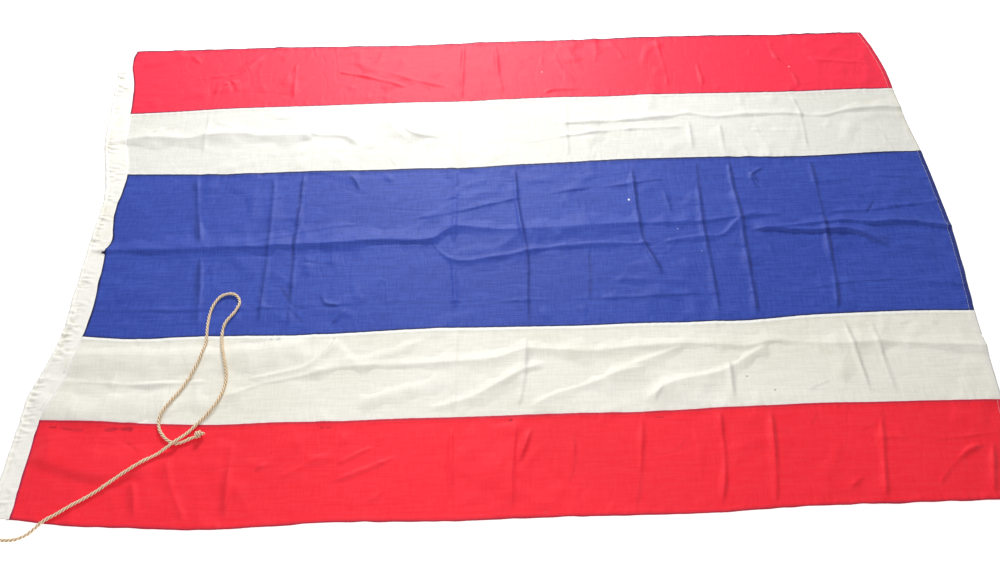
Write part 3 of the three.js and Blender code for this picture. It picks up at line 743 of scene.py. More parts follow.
def crumple_group() -> bpy.types.NodeTree:
    """Build the finest pressed-in creases, long and wandering and of uneven depth, as a height."""
    bench, given, result = shader_group("fine_crumple", {"Place": "NodeSocketVector"}, ("Height",))
    ridges = []
    for scale, stretch in ((9.0, (0.6, 1.5, 1.0)), (13.0, (1.7, 0.55, 1.0))):
        waves = bench.noise(given["Place"], scale, 1.5, stretch)
        ridges.append(bench.spread(bench.math("ABSOLUTE", bench.math("SUBTRACT", waves, 0.5)), 0.0, 0.05))
    uneven = bench.spread(bench.noise(given["Place"], 5.0, 2.0), 0.42, 0.62)
    along = bench.math("MULTIPLY", ridges[0], uneven)
    upright = bench.math("MULTIPLY", ridges[1], bench.math("SUBTRACT", 1.0, uneven))
    bench.tree.links.new(bench.math("ADD", along, upright), result["Height"])
    return bench.tree


def spot_group() -> bpy.types.NodeTree:
    """Build one round spot with a ragged edge, as a mask."""
    sockets = {"Place": "NodeSocketVector", "Centre": "NodeSocketVector", "Radius": "NodeSocketFloat"}
    bench, given, result = shader_group("spot", sockets, ("Mask",))
    flat = [bench.add("ShaderNodeVectorMath", {0: v, 1: (1.0, 1.0, 0.0)}, operation="MULTIPLY").outputs[0]
            for v in (given["Place"], given["Centre"])]
    gap = bench.add("ShaderNodeVectorMath", {0: flat[0], 1: flat[1]}, operation="DISTANCE").outputs["Value"]
    ragged = bench.math("MULTIPLY", bench.noise(given["Place"], 420.0, 2.0), 1.1)
    share = bench.math("DIVIDE", gap, given["Radius"])
    bench.tree.links.new(bench.spread(bench.math("ADD", share, ragged), 1.0, 1.6, 1.0, 0.0), result["Mask"])
    return bench.tree


def new_material(name: str) -> tuple[bpy.types.Material, NodeBench, bpy.types.Node]:
    """Make a material, and return it with a bench on its tree and its Principled BSDF."""
    material = bpy.data.materials.new(name)
    material.use_nodes = True
    return material, NodeBench(material.node_tree), material.node_tree.nodes["Principled BSDF"]


@dataclass(frozen=True)
class Spot:
    """A small mark on the cloth.

    Attributes:
        place: Its (x, y) place in metres.
        radius: Its radius in millimetres.
        colour: Its colour.
        strength: How much of it shows.
    """

    place: Point
    radius: float
    colour: Colour
    strength: float = 0.8


@dataclass(frozen=True)
class CottonFinish:
    """Dyed or bleached cotton bunting in plain weave.

    Attributes:
        name: The material's name.
        colour: The cloth's colour.
        faded: The colour where it is worn and faded.
        soil: The colour of its soiling.
        soil_strength: How much the soiling shows.
        above_tint: Colour along the upper edge, where the seam allowance shows; on the coloured bands partly
            painted shade along the edge, on the lower white band a painted highlight.
        below_tint: Colour along the lower edge; on the coloured bands partly painted shade along the edge.
        hoist_tint: Colour along the heading; on the coloured bands partly painted shade beside the heading's
            raised edge.
        fly_tint: Colour of the fly's hem.
        spots: Marks on it.
        sheen: Weight of its fuzz.
        gloss: Strength of its soft reflection.
        creased: How much painted shade shows on the side of its creases that faces away from the light.
        crumpled: Strength of its finest creases.
    """

    name: str
    colour: Colour
    faded: Colour
    soil: Colour
    soil_strength: float
    above_tint: Colour
    below_tint: Colour
    hoist_tint: Colour
    fly_tint: Colour
    spots: tuple[Spot, ...] = ()
    sheen: float = 0.10
    gloss: float = 0.28
    creased: float = 0.25
    crumpled: float = 0.3

    def make(self, groups: dict[str, bpy.types.NodeTree]) -> bpy.types.Material:
        """Build the material.

        Args:
            groups: The shared shader node groups by name.

        Returns:
            The material.
        """
        material, bench, shader = new_material(self.name)
        place = bench.add("ShaderNodeTexCoord").outputs["Object"]
        flat = bench.add("ShaderNodeUVMap", uv_map="cloth").outputs[0]
        threads = {"Flat Place": flat, "Threads": 2 * math.pi / (BUNTING_THREAD * MM)}
        weave = bench.add("ShaderNodeGroup", threads, node_tree=groups["weave"])
        soil = bench.add("ShaderNodeGroup", {"Place": place}, node_tree=groups["soil"])
        worn = bench.math("MULTIPLY", weave.outputs["Tone"], 0.5)
        colour = bench.mix(worn, rgba(self.colour), rgba(self.faded))
        soiled = bench.math("MULTIPLY", soil.outputs["Cloudy"], self.soil_strength)
        colour = bench.mix(soiled, colour, rgba(self.soil), "MULTIPLY")
        blotched = bench.math("MULTIPLY", soil.outputs["Blotch"], self.soil_strength * 0.6)
        colour = bench.mix(blotched, colour, rgba(self.soil), "MULTIPLY")
        # The edge tints are partly the doubled cloth of seams and hems and partly painted shade along the
        # edges; the lower white band's bright upper edge is a painted highlight.
        edges = (("edge_above", self.above_tint, 1.0), ("edge_below", self.below_tint, 1.0),
                 ("edge_hoist", self.hoist_tint, 1.0), ("hem_fly", self.fly_tint, 0.6))
        for edge, tint, strength in edges:
            colour = bench.mix(bench.math("MULTIPLY", bench.mask(edge), strength), colour, rgba(tint))
        # Painted shade: the crease mask darkens the side of each sharp crease that faces away from the light.
        painted_shade = bench.math("MULTIPLY", bench.mask("crease"), self.creased)
        colour = bench.mix(painted_shade, colour, rgba((0.58, 0.58, 0.62)), "MULTIPLY")
        for spot in self.spots:
            where = {"Place": place, "Centre": (*spot.place, 0.0), "Radius": spot.radius * MM}
            mark = bench.add("ShaderNodeGroup", where, node_tree=groups["spot"])
            shown = bench.math("MULTIPLY", mark.outputs["Mask"], spot.strength)
            colour = bench.mix(shown, colour, rgba(spot.colour))
        bump = bench.add("ShaderNodeBump", {
            "Height": weave.outputs["Height"], "Strength": 0.35, "Distance": 0.0003})
        rumple = bench.add("ShaderNodeBump", {
            "Height": bench.noise(place, 55.0, 3.0, (0.6, 1.0, 1.0)), "Strength": 0.28, "Distance": 0.0016,
            "Normal": bump.outputs[0]})
        crumpled = bench.add("ShaderNodeGroup", {"Place": place}, node_tree=groups["crumple"])
        creased = bench.add("ShaderNodeBump", {
            "Height": crumpled.outputs["Height"], "Strength": self.crumpled, "Distance": 0.0008,
            "Normal": rumple.outputs[0]})
        material.node_tree.links.new(colour, shader.inputs["Base Color"])
        material.node_tree.links.new(creased.outputs[0], shader.inputs["Normal"])
        shader.inputs["Roughness"].default_value = 0.55
        shader.inputs["Specular IOR Level"].default_value = self.gloss
        shader.inputs["Sheen Weight"].default_value = self.sheen
        shader.inputs["Sheen Roughness"].default_value = 0.5
        return material


@dataclass(frozen=True)
class CanvasFinish:
    """Off-white heading canvas, heavier than the bunting and a little yellowed.

    Attributes:
        name: The material's name.
        colour: The canvas's colour.
        yellowed: The colour of its yellowed patches.
    """

    name: str = "heading_canvas"
    colour: Colour = (0.96, 0.945, 0.88)
    yellowed: Colour = (0.84, 0.78, 0.62)

    def make(self, groups: dict[str, bpy.types.NodeTree]) -> bpy.types.Material:
        """Build the material from the shared groups."""
        material, bench, shader = new_material(self.name)
        place = bench.add("ShaderNodeTexCoord").outputs["Object"]
        flat = bench.add("ShaderNodeUVMap", uv_map="cloth").outputs[0]
        threads = {"Flat Place": flat, "Threads": 2 * math.pi / (CANVAS_THREAD * MM)}
        weave = bench.add("ShaderNodeGroup", threads, node_tree=groups["weave"])
        patches = bench.spread(bench.noise(place, 17.0, 4.0), 0.5, 0.78)
        colour = bench.mix(bench.math("MULTIPLY", patches, 0.6), rgba(self.colour), rgba(self.yellowed))
        dark = tuple(0.9 * c for c in self.colour)
        colour = bench.mix(bench.math("MULTIPLY", weave.outputs["Tone"], 0.4), colour, rgba(dark))
        # Painted shade in the hollows between the heading's puckers, read from the crease mask.
        painted_hollow_shade = bench.math("MULTIPLY", bench.mask("crease"), 0.5)
        colour = bench.mix(painted_hollow_shade, colour, rgba((0.62, 0.58, 0.5)), "MULTIPLY")
        bump = bench.add("ShaderNodeBump", {
            "Height": weave.outputs["Height"], "Strength": 0.6, "Distance": 0.0005})
        material.node_tree.links.new(colour, shader.inputs["Base Color"])
        material.node_tree.links.new(bump.outputs[0], shader.inputs["Normal"])
        shader.inputs["Roughness"].default_value = 0.95
        shader.inputs["Specular IOR Level"].default_value = 0.2
        shader.inputs["Sheen Weight"].default_value = 0.15
        return material


@dataclass(frozen=True)
class RopeFinish:
    """Tan laid fibre rope, with painted shade in the grooves between its strands.

    Attributes:
        name: The material's name.
        colour: The fibre's colour.
        groove: Its colour between the strands, a painted shade.
    """

    name: str = "rope_fibre"
    colour: Colour = (1.0, 0.79, 0.50)
    groove: Colour = (0.22, 0.075, 0.02)

    def make(self, groups: dict[str, bpy.types.NodeTree]) -> bpy.types.Material:
        """Build the material from the shared groups."""
        material, bench, shader = new_material(self.name)
        place = bench.add("ShaderNodeTexCoord").outputs["Object"]
        # The groove mask paints shade between the strands.
        colour = bench.mix(bench.mask("groove"), rgba(self.colour), rgba(self.groove))
        fibres = bench.noise(place, 900.0, 2.0, (1.0, 0.35, 1.0))
        colour = bench.mix(bench.spread(fibres, 0.35, 0.7, 0.0, 0.35), colour, rgba((1.0, 0.93, 0.80)))
        soil = bench.add("ShaderNodeGroup", {"Place": place}, node_tree=groups["soil"])
        soiled = bench.math("MULTIPLY", soil.outputs["Cloudy"], 0.3)
        colour = bench.mix(soiled, colour, rgba((0.9, 0.82, 0.7)), "MULTIPLY")
        bump = bench.add("ShaderNodeBump", {"Height": fibres, "Strength": 0.5, "Distance": 0.0004})
        material.node_tree.links.new(colour, shader.inputs["Base Color"])
        material.node_tree.links.new(bump.outputs[0], shader.inputs["Normal"])
        shader.inputs["Roughness"].default_value = 0.85
        shader.inputs["Sheen Weight"].default_value = 0.2
        return material


@dataclass(frozen=True)
class ThreadFinish:
    """Sewing thread.

    Attributes:
        name: The material's name.
        colour: The thread's colour.
    """

    name: str
    colour: Colour

    def make(self) -> bpy.types.Material:
        """Build the material, with the thread's tone varied along it."""
        material, bench, shader = new_material(self.name)
        place = bench.add("ShaderNodeTexCoord").outputs["Object"]
        worn = tuple(0.75 * c for c in self.colour)
        colour = bench.mix(bench.spread(bench.noise(place, 60.0), 0.4, 0.7), rgba(self.colour), rgba(worn))
        material.node_tree.links.new(colour, shader.inputs["Base Color"])
        shader.inputs["Roughness"].default_value = 0.7
        return material


def rgba(colour: Colour) -> tuple[float, float, float, float]:
    """Return a colour with full alpha."""
    return (*colour, 1.0)


WHITE_CLOTH: Colour = (0.81, 0.805, 0.76)
WHITE_FADED: Colour = (0.68, 0.675, 0.62)
WHITE_EDGE: Colour = (0.86, 0.855, 0.82)
PALE_TRACE: Colour = (0.88, 0.87, 0.83)
# Each finish gives colour, faded, soil and soil strength, then the above, below, hoist and fly tints; the
# dark edge tints are partly doubled cloth and partly painted shade.
UPPER_RED = CottonFinish(
    "red_bunting_upper", (0.92, 0.017, 0.054), (0.95, 0.030, 0.080), (0.80, 0.56, 0.66), 0.20,
    (0.12, 0.005, 0.045), (0.17, 0.008, 0.05), (0.17, 0.004, 0.05), (0.55, 0.012, 0.05),
    spots=(Spot((0.099, 0.489), 2.6, (0.95, 0.45, 0.42), 0.7),
           Spot((0.695, 0.482), 2.4, (0.95, 0.6, 0.55), 0.7)),
)
UPPER_WHITE = CottonFinish(
    "white_bunting_upper", WHITE_CLOTH, WHITE_FADED, (0.84, 0.83, 0.74), 0.34, (0.84, 0.78, 0.76),
    WHITE_EDGE, WHITE_EDGE, (0.80, 0.77, 0.66), spots=(Spot((0.858, 0.356), 13.0, (0.78, 0.73, 0.56), 0.30),),
    creased=0.25,
)
BLUE = CottonFinish(
    "blue_bunting", (0.021, 0.052, 0.35), (0.050, 0.107, 0.52), (0.60, 0.62, 0.80), 0.35,
    (0.005, 0.005, 0.030), (0.010, 0.011, 0.06), (0.006, 0.005, 0.035), (0.012, 0.014, 0.09),
    spots=(Spot((0.271, 0.089), 3.0, PALE_TRACE, 1.0), Spot((0.367, 0.007), 1.7, (0.6, 0.62, 0.8), 0.7),
           Spot((0.410, -0.052), 1.5, (0.5, 0.52, 0.75), 0.6)),
    creased=0.75,
)
# Its bright upper-edge tint is a painted highlight along its raised upper edge, where it laps over the blue
# band.
LOWER_WHITE = CottonFinish(
    "white_bunting_lower", (0.88, 0.865, 0.785), (0.74, 0.72, 0.63), (0.82, 0.81, 0.73), 0.45,
    (0.98, 0.98, 0.96), (0.86, 0.80, 0.77), WHITE_EDGE, (0.80, 0.78, 0.72),
    spots=(Spot((0.454, -0.346), 2.4, (0.30, 0.24, 0.20), 0.75),
           Spot((0.502, -0.376), 2.4, (0.25, 0.2, 0.18), 0.75),
           Spot((0.333, -0.362), 1.6, (0.42, 0.36, 0.3), 0.6),
           Spot((0.842, -0.240), 9.0, (0.55, 0.54, 0.50), 0.25),
           Spot((0.620, -0.300), 10.0, (0.74, 0.68, 0.52), 0.16)),
    creased=0.3,
)
LOWER_RED = CottonFinish(
    "red_bunting_lower", (0.95, 0.012, 0.030), (0.98, 0.032, 0.058), (0.80, 0.60, 0.66), 0.26,
    (0.50, 0.015, 0.04), (0.45, 0.015, 0.04), (0.32, 0.012, 0.07), (0.60, 0.02, 0.05),
)


# --------------------------------------------------------------------------- the sewn pieces


def places_of(mesh: bpy.types.Mesh) -> np.ndarray:
    """Return the places of a mesh's points, one to a row."""
    places = np.empty(len(mesh.vertices) * 3)
    mesh.vertices.foreach_get("co", places)
    return places.reshape(-1, 3)


def dress_in(piece: bpy.types.Object, material: bpy.types.Material, node: str) -> None:
    """Give a piece its material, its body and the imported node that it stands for.

    Args:
        piece: The piece.
        material: Its material.
        node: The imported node.
    """
    piece.data.materials.append(material)
    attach(piece, BODY)
    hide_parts(node)


# Places along the flag where a band's mean width is taken, in metres.
STATIONS = np.linspace(-0.85, 0.9, 36)


@dataclass
class Band:
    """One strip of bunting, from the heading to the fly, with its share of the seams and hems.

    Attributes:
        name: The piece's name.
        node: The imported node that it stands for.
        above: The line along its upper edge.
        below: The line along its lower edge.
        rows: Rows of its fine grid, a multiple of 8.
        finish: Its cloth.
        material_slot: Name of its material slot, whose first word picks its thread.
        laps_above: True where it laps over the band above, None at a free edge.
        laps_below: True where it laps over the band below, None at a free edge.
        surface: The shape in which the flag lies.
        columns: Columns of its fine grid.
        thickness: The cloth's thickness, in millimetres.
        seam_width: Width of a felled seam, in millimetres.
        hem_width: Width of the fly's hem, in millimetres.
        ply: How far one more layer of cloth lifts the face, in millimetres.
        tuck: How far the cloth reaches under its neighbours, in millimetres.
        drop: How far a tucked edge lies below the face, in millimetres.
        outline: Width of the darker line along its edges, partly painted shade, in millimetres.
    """

    name: str
    node: str
    above: Line
    below: Line
    rows: int
    finish: CottonFinish
    material_slot: str
    laps_above: bool | None
    laps_below: bool | None
    surface: ClothSurface = field(default_factory=ClothSurface)
    columns: int = 600
    thickness: float = 0.45
    seam_width: float = 9.0
    hem_width: float = 12.0
    ply: float = 0.4
    tuck: float = 5.0
    drop: float = 0.75
    outline: float = 4.6

    def lines(self, x: np.ndarray) -> tuple[np.ndarray, np.ndarray]:
        """Return the y of the band's upper and lower edges, with what is tucked under its neighbours."""
        upper = self.above.at(x) + (self.tuck * MM if self.laps_above is False else 0.0)
        lower = self.below.at(x) - (self.tuck * MM if self.laps_below is False else 0.0)
        wander = 0.35 * MM * soft_noise(x, 0 * x, 21, 0.06)
        return (upper + wander if self.laps_above is None else upper,
                lower + wander if self.laps_below is None else lower)

    def grid(self) -> tuple[np.ndarray, np.ndarray]:
        """Return the x and y of the band's fine grid, in rows from the top and columns from the hoist."""
        down, along = np.linspace(0, 1, self.rows + 1), np.linspace(0, 1, self.columns + 1)
        v, u = np.meshgrid(down, along, indexing="ij")
        x = -0.9 + 1.8 * u
        for _ in range(4):
            upper, lower = self.lines(x)
            y = upper + (lower - upper) * v
            hoist, fly = HOIST_EDGE.at(y) - self.tuck * MM, FLY_EDGE.at(y)
            x = hoist + (fly - hoist) * u
        return x, y

    def relief(self, x: np.ndarray, y: np.ndarray) -> np.ndarray:
        """Return what the seams and hems add to the cloth's face.

        Args:
            x: Places along the flag, in metres.
            y: Places across the flag, in metres.

        Returns:
            Heights in metres.
        """
        height = np.zeros(len(x))
        sides = ((self.above.at(x) - y, self.laps_above, 31), (y - self.below.at(x), self.laps_below, 32))
        for inside, laps, seed in sides:
            if laps is False:
                height -= self.drop * MM * (1 - smooth_step(inside / (2.5 * MM)))
            else:
                height += self.ply * MM * (1 - smooth_step((inside - 0.6 * self.seam_width * MM) / (7 * MM)))
            pull = np.exp(-np.abs(inside - 0.5 * self.seam_width * MM) / (11 * MM))
            height += 0.26 * MM * pull * soft_noise(x, 0.3 * y, seed, 0.020)
        to_fly = FLY_EDGE.at(y) - x
        height += self.ply * MM * (1 - smooth_step((to_fly - self.hem_width * MM) / (3 * MM)))
        pull = np.exp(-np.abs(to_fly - 0.8 * self.hem_width * MM) / (10 * MM))
        height += 0.22 * MM * pull * soft_noise(0.3 * x, y, 33, 0.022)
        from_hoist = x - HOIST_EDGE.at(y)
        height -= self.drop * MM * (1 - smooth_step(from_hoist / (3 * MM)))
        pull = np.exp(-np.abs(from_hoist) / (16 * MM))
        return height + 0.30 * MM * pull * soft_noise(0.3 * x, y, 34, 0.024)

    def top(self, x: np.ndarray, y: np.ndarray) -> np.ndarray:
        """Return the height of the band's face, in metres."""
        lowest = (self.surface.lowest - 0.2) * MM
        return np.maximum(self.surface.top(x, y) + self.relief(x, y), lowest)

    def build(self) -> bpy.types.Object:
        """Make the band's mesh, with its flat places and the masks that its finish reads."""
        x, y = self.grid()
        top = self.top(x.ravel(), y.ravel()).reshape(x.shape)
        under = np.maximum(lowest_around(top, 2) - self.thickness * MM, 0.0)
        mesh = thin_sheet(self.name, x, y, top, under, 8)
        px, py, _ = places_of(mesh).T
        set_uv(mesh, np.stack([px, py], axis=-1))
        # The edge masks carry the finish's edge tints: partly doubled cloth, partly painted shade, and a
        # painted highlight on the lower white band.
        outline = self.outline * MM
        set_attribute(mesh, "edge_above", 1 - smooth_step((self.above.at(px) - py - 0.4 * outline) / outline))
        set_attribute(mesh, "edge_below", 1 - smooth_step((py - self.below.at(px) - 0.2 * outline) / outline))
        set_attribute(mesh, "edge_hoist", 1 - smooth_step((px - HOIST_EDGE.at(py) - 0.5 * outline) / outline))
        to_fly = (FLY_EDGE.at(py) - px) / MM
        set_attribute(mesh, "hem_fly", 1 - smooth_step((to_fly - self.hem_width + 4.5) / 3))
        # The crease mask is painted shade on the side of each sharp crease that faces away from the light.
        set_attribute(mesh, "crease", self.surface.pressed(px, py))
        return new_object(self.name, mesh)

    def dress(self, piece: bpy.types.Object, groups: dict[str, bpy.types.NodeTree]) -> None:
        """Give the band its cloth, its body and its node, and work out its mean width."""
        dress_in(piece, self.finish.make(groups), self.node)
        width = round(float(np.mean(self.above.at(STATIONS) - self.below.at(STATIONS))), 3)


@dataclass
class Heading:
    """The canvas strip along the hoist, with a channel for the rope along its outer edge.

    Attributes:
        surface: The shape in which the flag lies.
        finish: Its canvas.
        step: Length of its grid's steps along it, in millimetres.
        profile: (distance from the outer edge, height) points across the channel, in millimetres.
        face: Height of the flat part's face, in millimetres.
        lap: How far it reaches over the bands, in millimetres.
        ply: Thickness of one layer over the bands, in millimetres.
        pucker: Height of its cross puckers, in millimetres.
    """

    surface: ClothSurface = field(default_factory=ClothSurface)
    finish: CanvasFinish = field(default_factory=CanvasFinish)
    step: float = 2.0
    profile: tuple[Point, ...] = ((0.0, 0.3), (0.25, 2.8), (1.8, 5.2), (4.6, 6.2), (7.2, 5.3), (9.4, 3.6))
    face: float = 2.4
    lap: float = 1.5
    ply: float = 0.8
    pucker: float = 0.75

    def across(self) -> np.ndarray:
        """Return the places of the grid's columns, as shares of the channel and of the flat part."""
        channel = np.array([0.0, 0.12, 0.6, 1.5, 2.6, 3.7, 4.7, 5.7, 6.6, 7.5, 8.3, 9.0, 9.7])
        flat = np.linspace(0.06, 1, 15)
        return np.concatenate([channel, 9.7 + flat])

    def grid(self) -> tuple[np.ndarray, np.ndarray, np.ndarray]:
        """Return the grid's x and y, and each place's distance from the outer edge in millimetres."""
        rows = round(1.2 / (self.step * MM))
        rows -= rows % 4
        shares = self.across()
        v = np.linspace(0, 1, rows + 1)[:, None]
        key = np.clip((shares - 9.7), 0, 1)
        upper = HEADING_OUTER.points[-1][1] * (1 - key) + HOIST_EDGE.points[-1][1] * key
        lower = HEADING_OUTER.points[0][1] * (1 - key) + HOIST_EDGE.points[0][1] * key
        y = upper + (lower - upper) * v
        outer = HEADING_OUTER.at(y) + 0.5 * MM * soft_noise(0 * y, y, 41, 0.03)
        inner = HOIST_EDGE.at(y) + self.lap * MM + 0.4 * MM * soft_noise(0 * y, y, 42, 0.05)
        channel = np.minimum(shares, 9.7) * MM
        x = outer + channel + (inner - outer - 9.7 * MM) * key
        return x, y, (x - outer) / MM

    def top(self, x: np.ndarray, y: np.ndarray, off: np.ndarray) -> np.ndarray:
        """Return the height of the heading's face, in metres.

        Args:
            x: Places along the flag, in metres.
            y: Places across the flag, in metres.
            off: Distance from the outer edge, in millimetres.

        Returns:
            Heights in metres.
        """
        keys, heights = np.array(self.profile).T
        bead = np.interp(off, keys, heights)
        slack = 1 + 0.07 * soft_noise(0 * y, y, 43, 0.045) + 0.05 * soft_noise(x, y, 44, 0.014)
        flat = self.face + 1.6 * np.exp(-np.maximum(off - 9.4, 0) / 4.0) + 0.25 * soft_noise(x, y, 45, 0.06)
        ripple = np.clip(soft_noise(0.35 * x, y, 46, 0.0125), -1.3, 2.0)
        pulled = np.clip((off - 2.0) / 6.0, 0.3, 1) * np.exp(-np.maximum(off - 16.0, 0) / 16.0)
        cross = self.pucker * ripple * pulled * np.clip(0.8 + 0.7 * soft_noise(x, y, 47, 0.09), 0.15, 2.0)
        seam_dip = -0.35 * np.exp(-((off - 10.5) / 1.3) ** 2)
        width = (HOIST_EDGE.at(y) - HEADING_OUTER.at(y)) / MM
        inner = np.clip(off / width, 0, 1)
        lifted = (self.surface.top(x, y).reshape(x.shape) / MM - self.surface.face) * (0.25 + 0.75 * inner)
        hem = -0.35 * smooth_step((off - width + 0.6) / 1.6)
        body = np.where(off < 9.4, bead * slack, flat) + cross + seam_dip + hem + np.maximum(lifted, -0.3)
        return np.maximum(body, np.where(off < 0.2, 0.3, 1.7)) * MM

    def build(self) -> bpy.types.Object:
        """Make the heading's mesh."""
        x, y, off = self.grid()
        top = self.top(x, y, off)
        width = (HOIST_EDGE.at(y) - HEADING_OUTER.at(y)) / MM
        over_bands = off > width - 6.0
        under = np.maximum(top - np.where(over_bands, self.ply, 50.0) * MM, 0.0)
        mesh = thin_sheet("canvas_heading", x, y, top, under, 4)
        places = places_of(mesh)
        set_uv(mesh, places[:, :2] + places[:, 2:] * (1.0, 0.0))
        # The crease mask is how far each place lies below its higher neighbours, for painted shade in the
        # hollows.
        flat = lowest_around(-top, 4)
        hollow = np.clip((-flat - top) / MM, 0, 4).ravel()
        kept = hollow.reshape(x.shape)[::4].ravel()
        set_attribute(mesh, "crease", smooth_step((np.concatenate([hollow, kept]) - 0.8) / 3.0))
        return new_object("canvas_heading", mesh)

    def dress(self, piece: bpy.types.Object, groups: dict[str, bpy.types.NodeTree]) -> None:
        """Give the heading its canvas, its body and its node."""
        dress_in(piece, self.finish.make(groups), "heading")


def face_heights(bands: list[Band], x: np.ndarray, y: np.ndarray) -> np.ndarray:
    """Return the height of whatever lies uppermost at each place: a band's face, or the floor.

    Args:
        bands: The flag's bands.
        x: Places along the flag, in metres.
        y: Places across the flag, in metres.

    Returns:
        Heights in metres.
    """
    height = np.zeros(len(x))
    for band in bands:
        inside = (y <= band.above.at(x)) & (y > band.below.at(x)) & (x > HOIST_EDGE.at(y) - 0.006)
        if inside.any():
            height[inside] = band.top(x[inside], y[inside])
    return height


# --------------------------------------------------------------------------- the rope


def spaced(route: np.ndarray, step: float) -> np.ndarray:
    """Return places at even steps along a line.

    Args:
        route: The line's points.
        step: Length of a step, in metres.

    Returns:
        The places, one row each, with both ends.
    """
    lengths = np.concatenate([[0], np.cumsum(np.linalg.norm(np.diff(route, axis=0), axis=1))])
    along = np.linspace(0, lengths[-1], max(2, round(lengths[-1] / step) + 1))
    return np.stack([np.interp(along, lengths, route[:, i]) for i in range(route.shape[1])], axis=1)


@dataclass(frozen=True)
class LaidStrand:
    """The section of a rope laid from three strands.

    Attributes:
        offset: Distance of the strands' centres from the rope's centre, in millimetres.
        radius: Radius of each strand, in millimetres.
        lay: Length of one turn, in millimetres.
        sides: Points round the section.
    """

    offset: float = 1.6
    radius: float = 1.45
    lay: float = 22.0
    sides: int = 18

    def tube(self, path: np.ndarray, scale: np.ndarray, seed: int) -> tuple[np.ndarray, list, np.ndarray]:
        """Sweep the section along a path.

        Args:
            path: The ring centres, in metres.
            scale: The section's size at each of them.
            seed: Seed of its small roughness.

        Returns:
            The points, the faces, and how deep in a groove each point lies.
        """
        rng = np.random.default_rng(seed)
        heading = np.gradient(path, axis=0)
        heading /= np.linalg.norm(heading, axis=1)[:, None]
        along = np.concatenate([[0], np.cumsum(np.linalg.norm(np.diff(path, axis=0), axis=1))])
        around = np.linspace(0, 2 * math.pi, self.sides, endpoint=False)
        side = np.cross(heading[0], (0.0, 0.0, 1.0))
        rings, depths = [], []
        for centre, ahead, reached, size in zip(path, heading, along, scale):
            side = side - ahead * float(np.dot(side, ahead))
            side /= np.linalg.norm(side)
            up = np.cross(side, ahead)
            twist = 2 * math.pi * reached / (self.lay * MM)
            lobe = (around - twist + math.pi / 3) % (2 * math.pi / 3) - math.pi / 3
            reach = self.offset * np.cos(lobe) + np.sqrt(self.radius**2 - (self.offset * np.sin(lobe)) ** 2)
            reach = reach * size * (1 + rng.normal(0, 0.03, self.sides)) * MM
            ring = centre + reach[:, None] * (np.cos(around)[:, None] * side + np.sin(around)[:, None] * up)
            rings.append(ring)
            depths.append(smooth_step((np.abs(lobe) - 0.42) / 0.38))
        numbers = np.arange(len(path) * self.sides).reshape(len(path), self.sides)
        closed = np.hstack([numbers, numbers[:, :1]])
        faces = [face[::-1] for face in quads(closed)]
        faces += [tuple(numbers[0]), tuple(numbers[-1][::-1])]
        return np.vstack(rings), faces, np.concatenate(depths)


ROPE_EXIT = (-0.9254, -0.5882, 0.0035)
# The free rope's line in millimetres, from the heading's lower end to the knot on its tail.
ROPE_ROUTE: tuple[Point, ...] = (
    (-925.4, -584), (-925.5, -601), (-921, -612), (-912, -621), (-898, -626.5), (-882, -628), (-866, -626),
    (-850, -618), (-837, -605), (-822, -592), (-794, -575), (-751, -547), (-706, -514), (-667, -487),
    (-640, -469), (-618, -453), (-597, -431), (-570, -398), (-550, -364), (-545, -325), (-553, -285),
    (-566, -240), (-566, -202), (-549, -172), (-543, -152), (-552, -134), (-568, -129), (-586, -138),
    (-598, -165), (-600, -200), (-597, -240), (-602, -280), (-620, -327), (-646, -375), (-658, -402),
    (-655, -424), (-643, -441), (-630, -451), (-617, -455), (-605, -452), (-594, -446.5), (-583, -442),
)


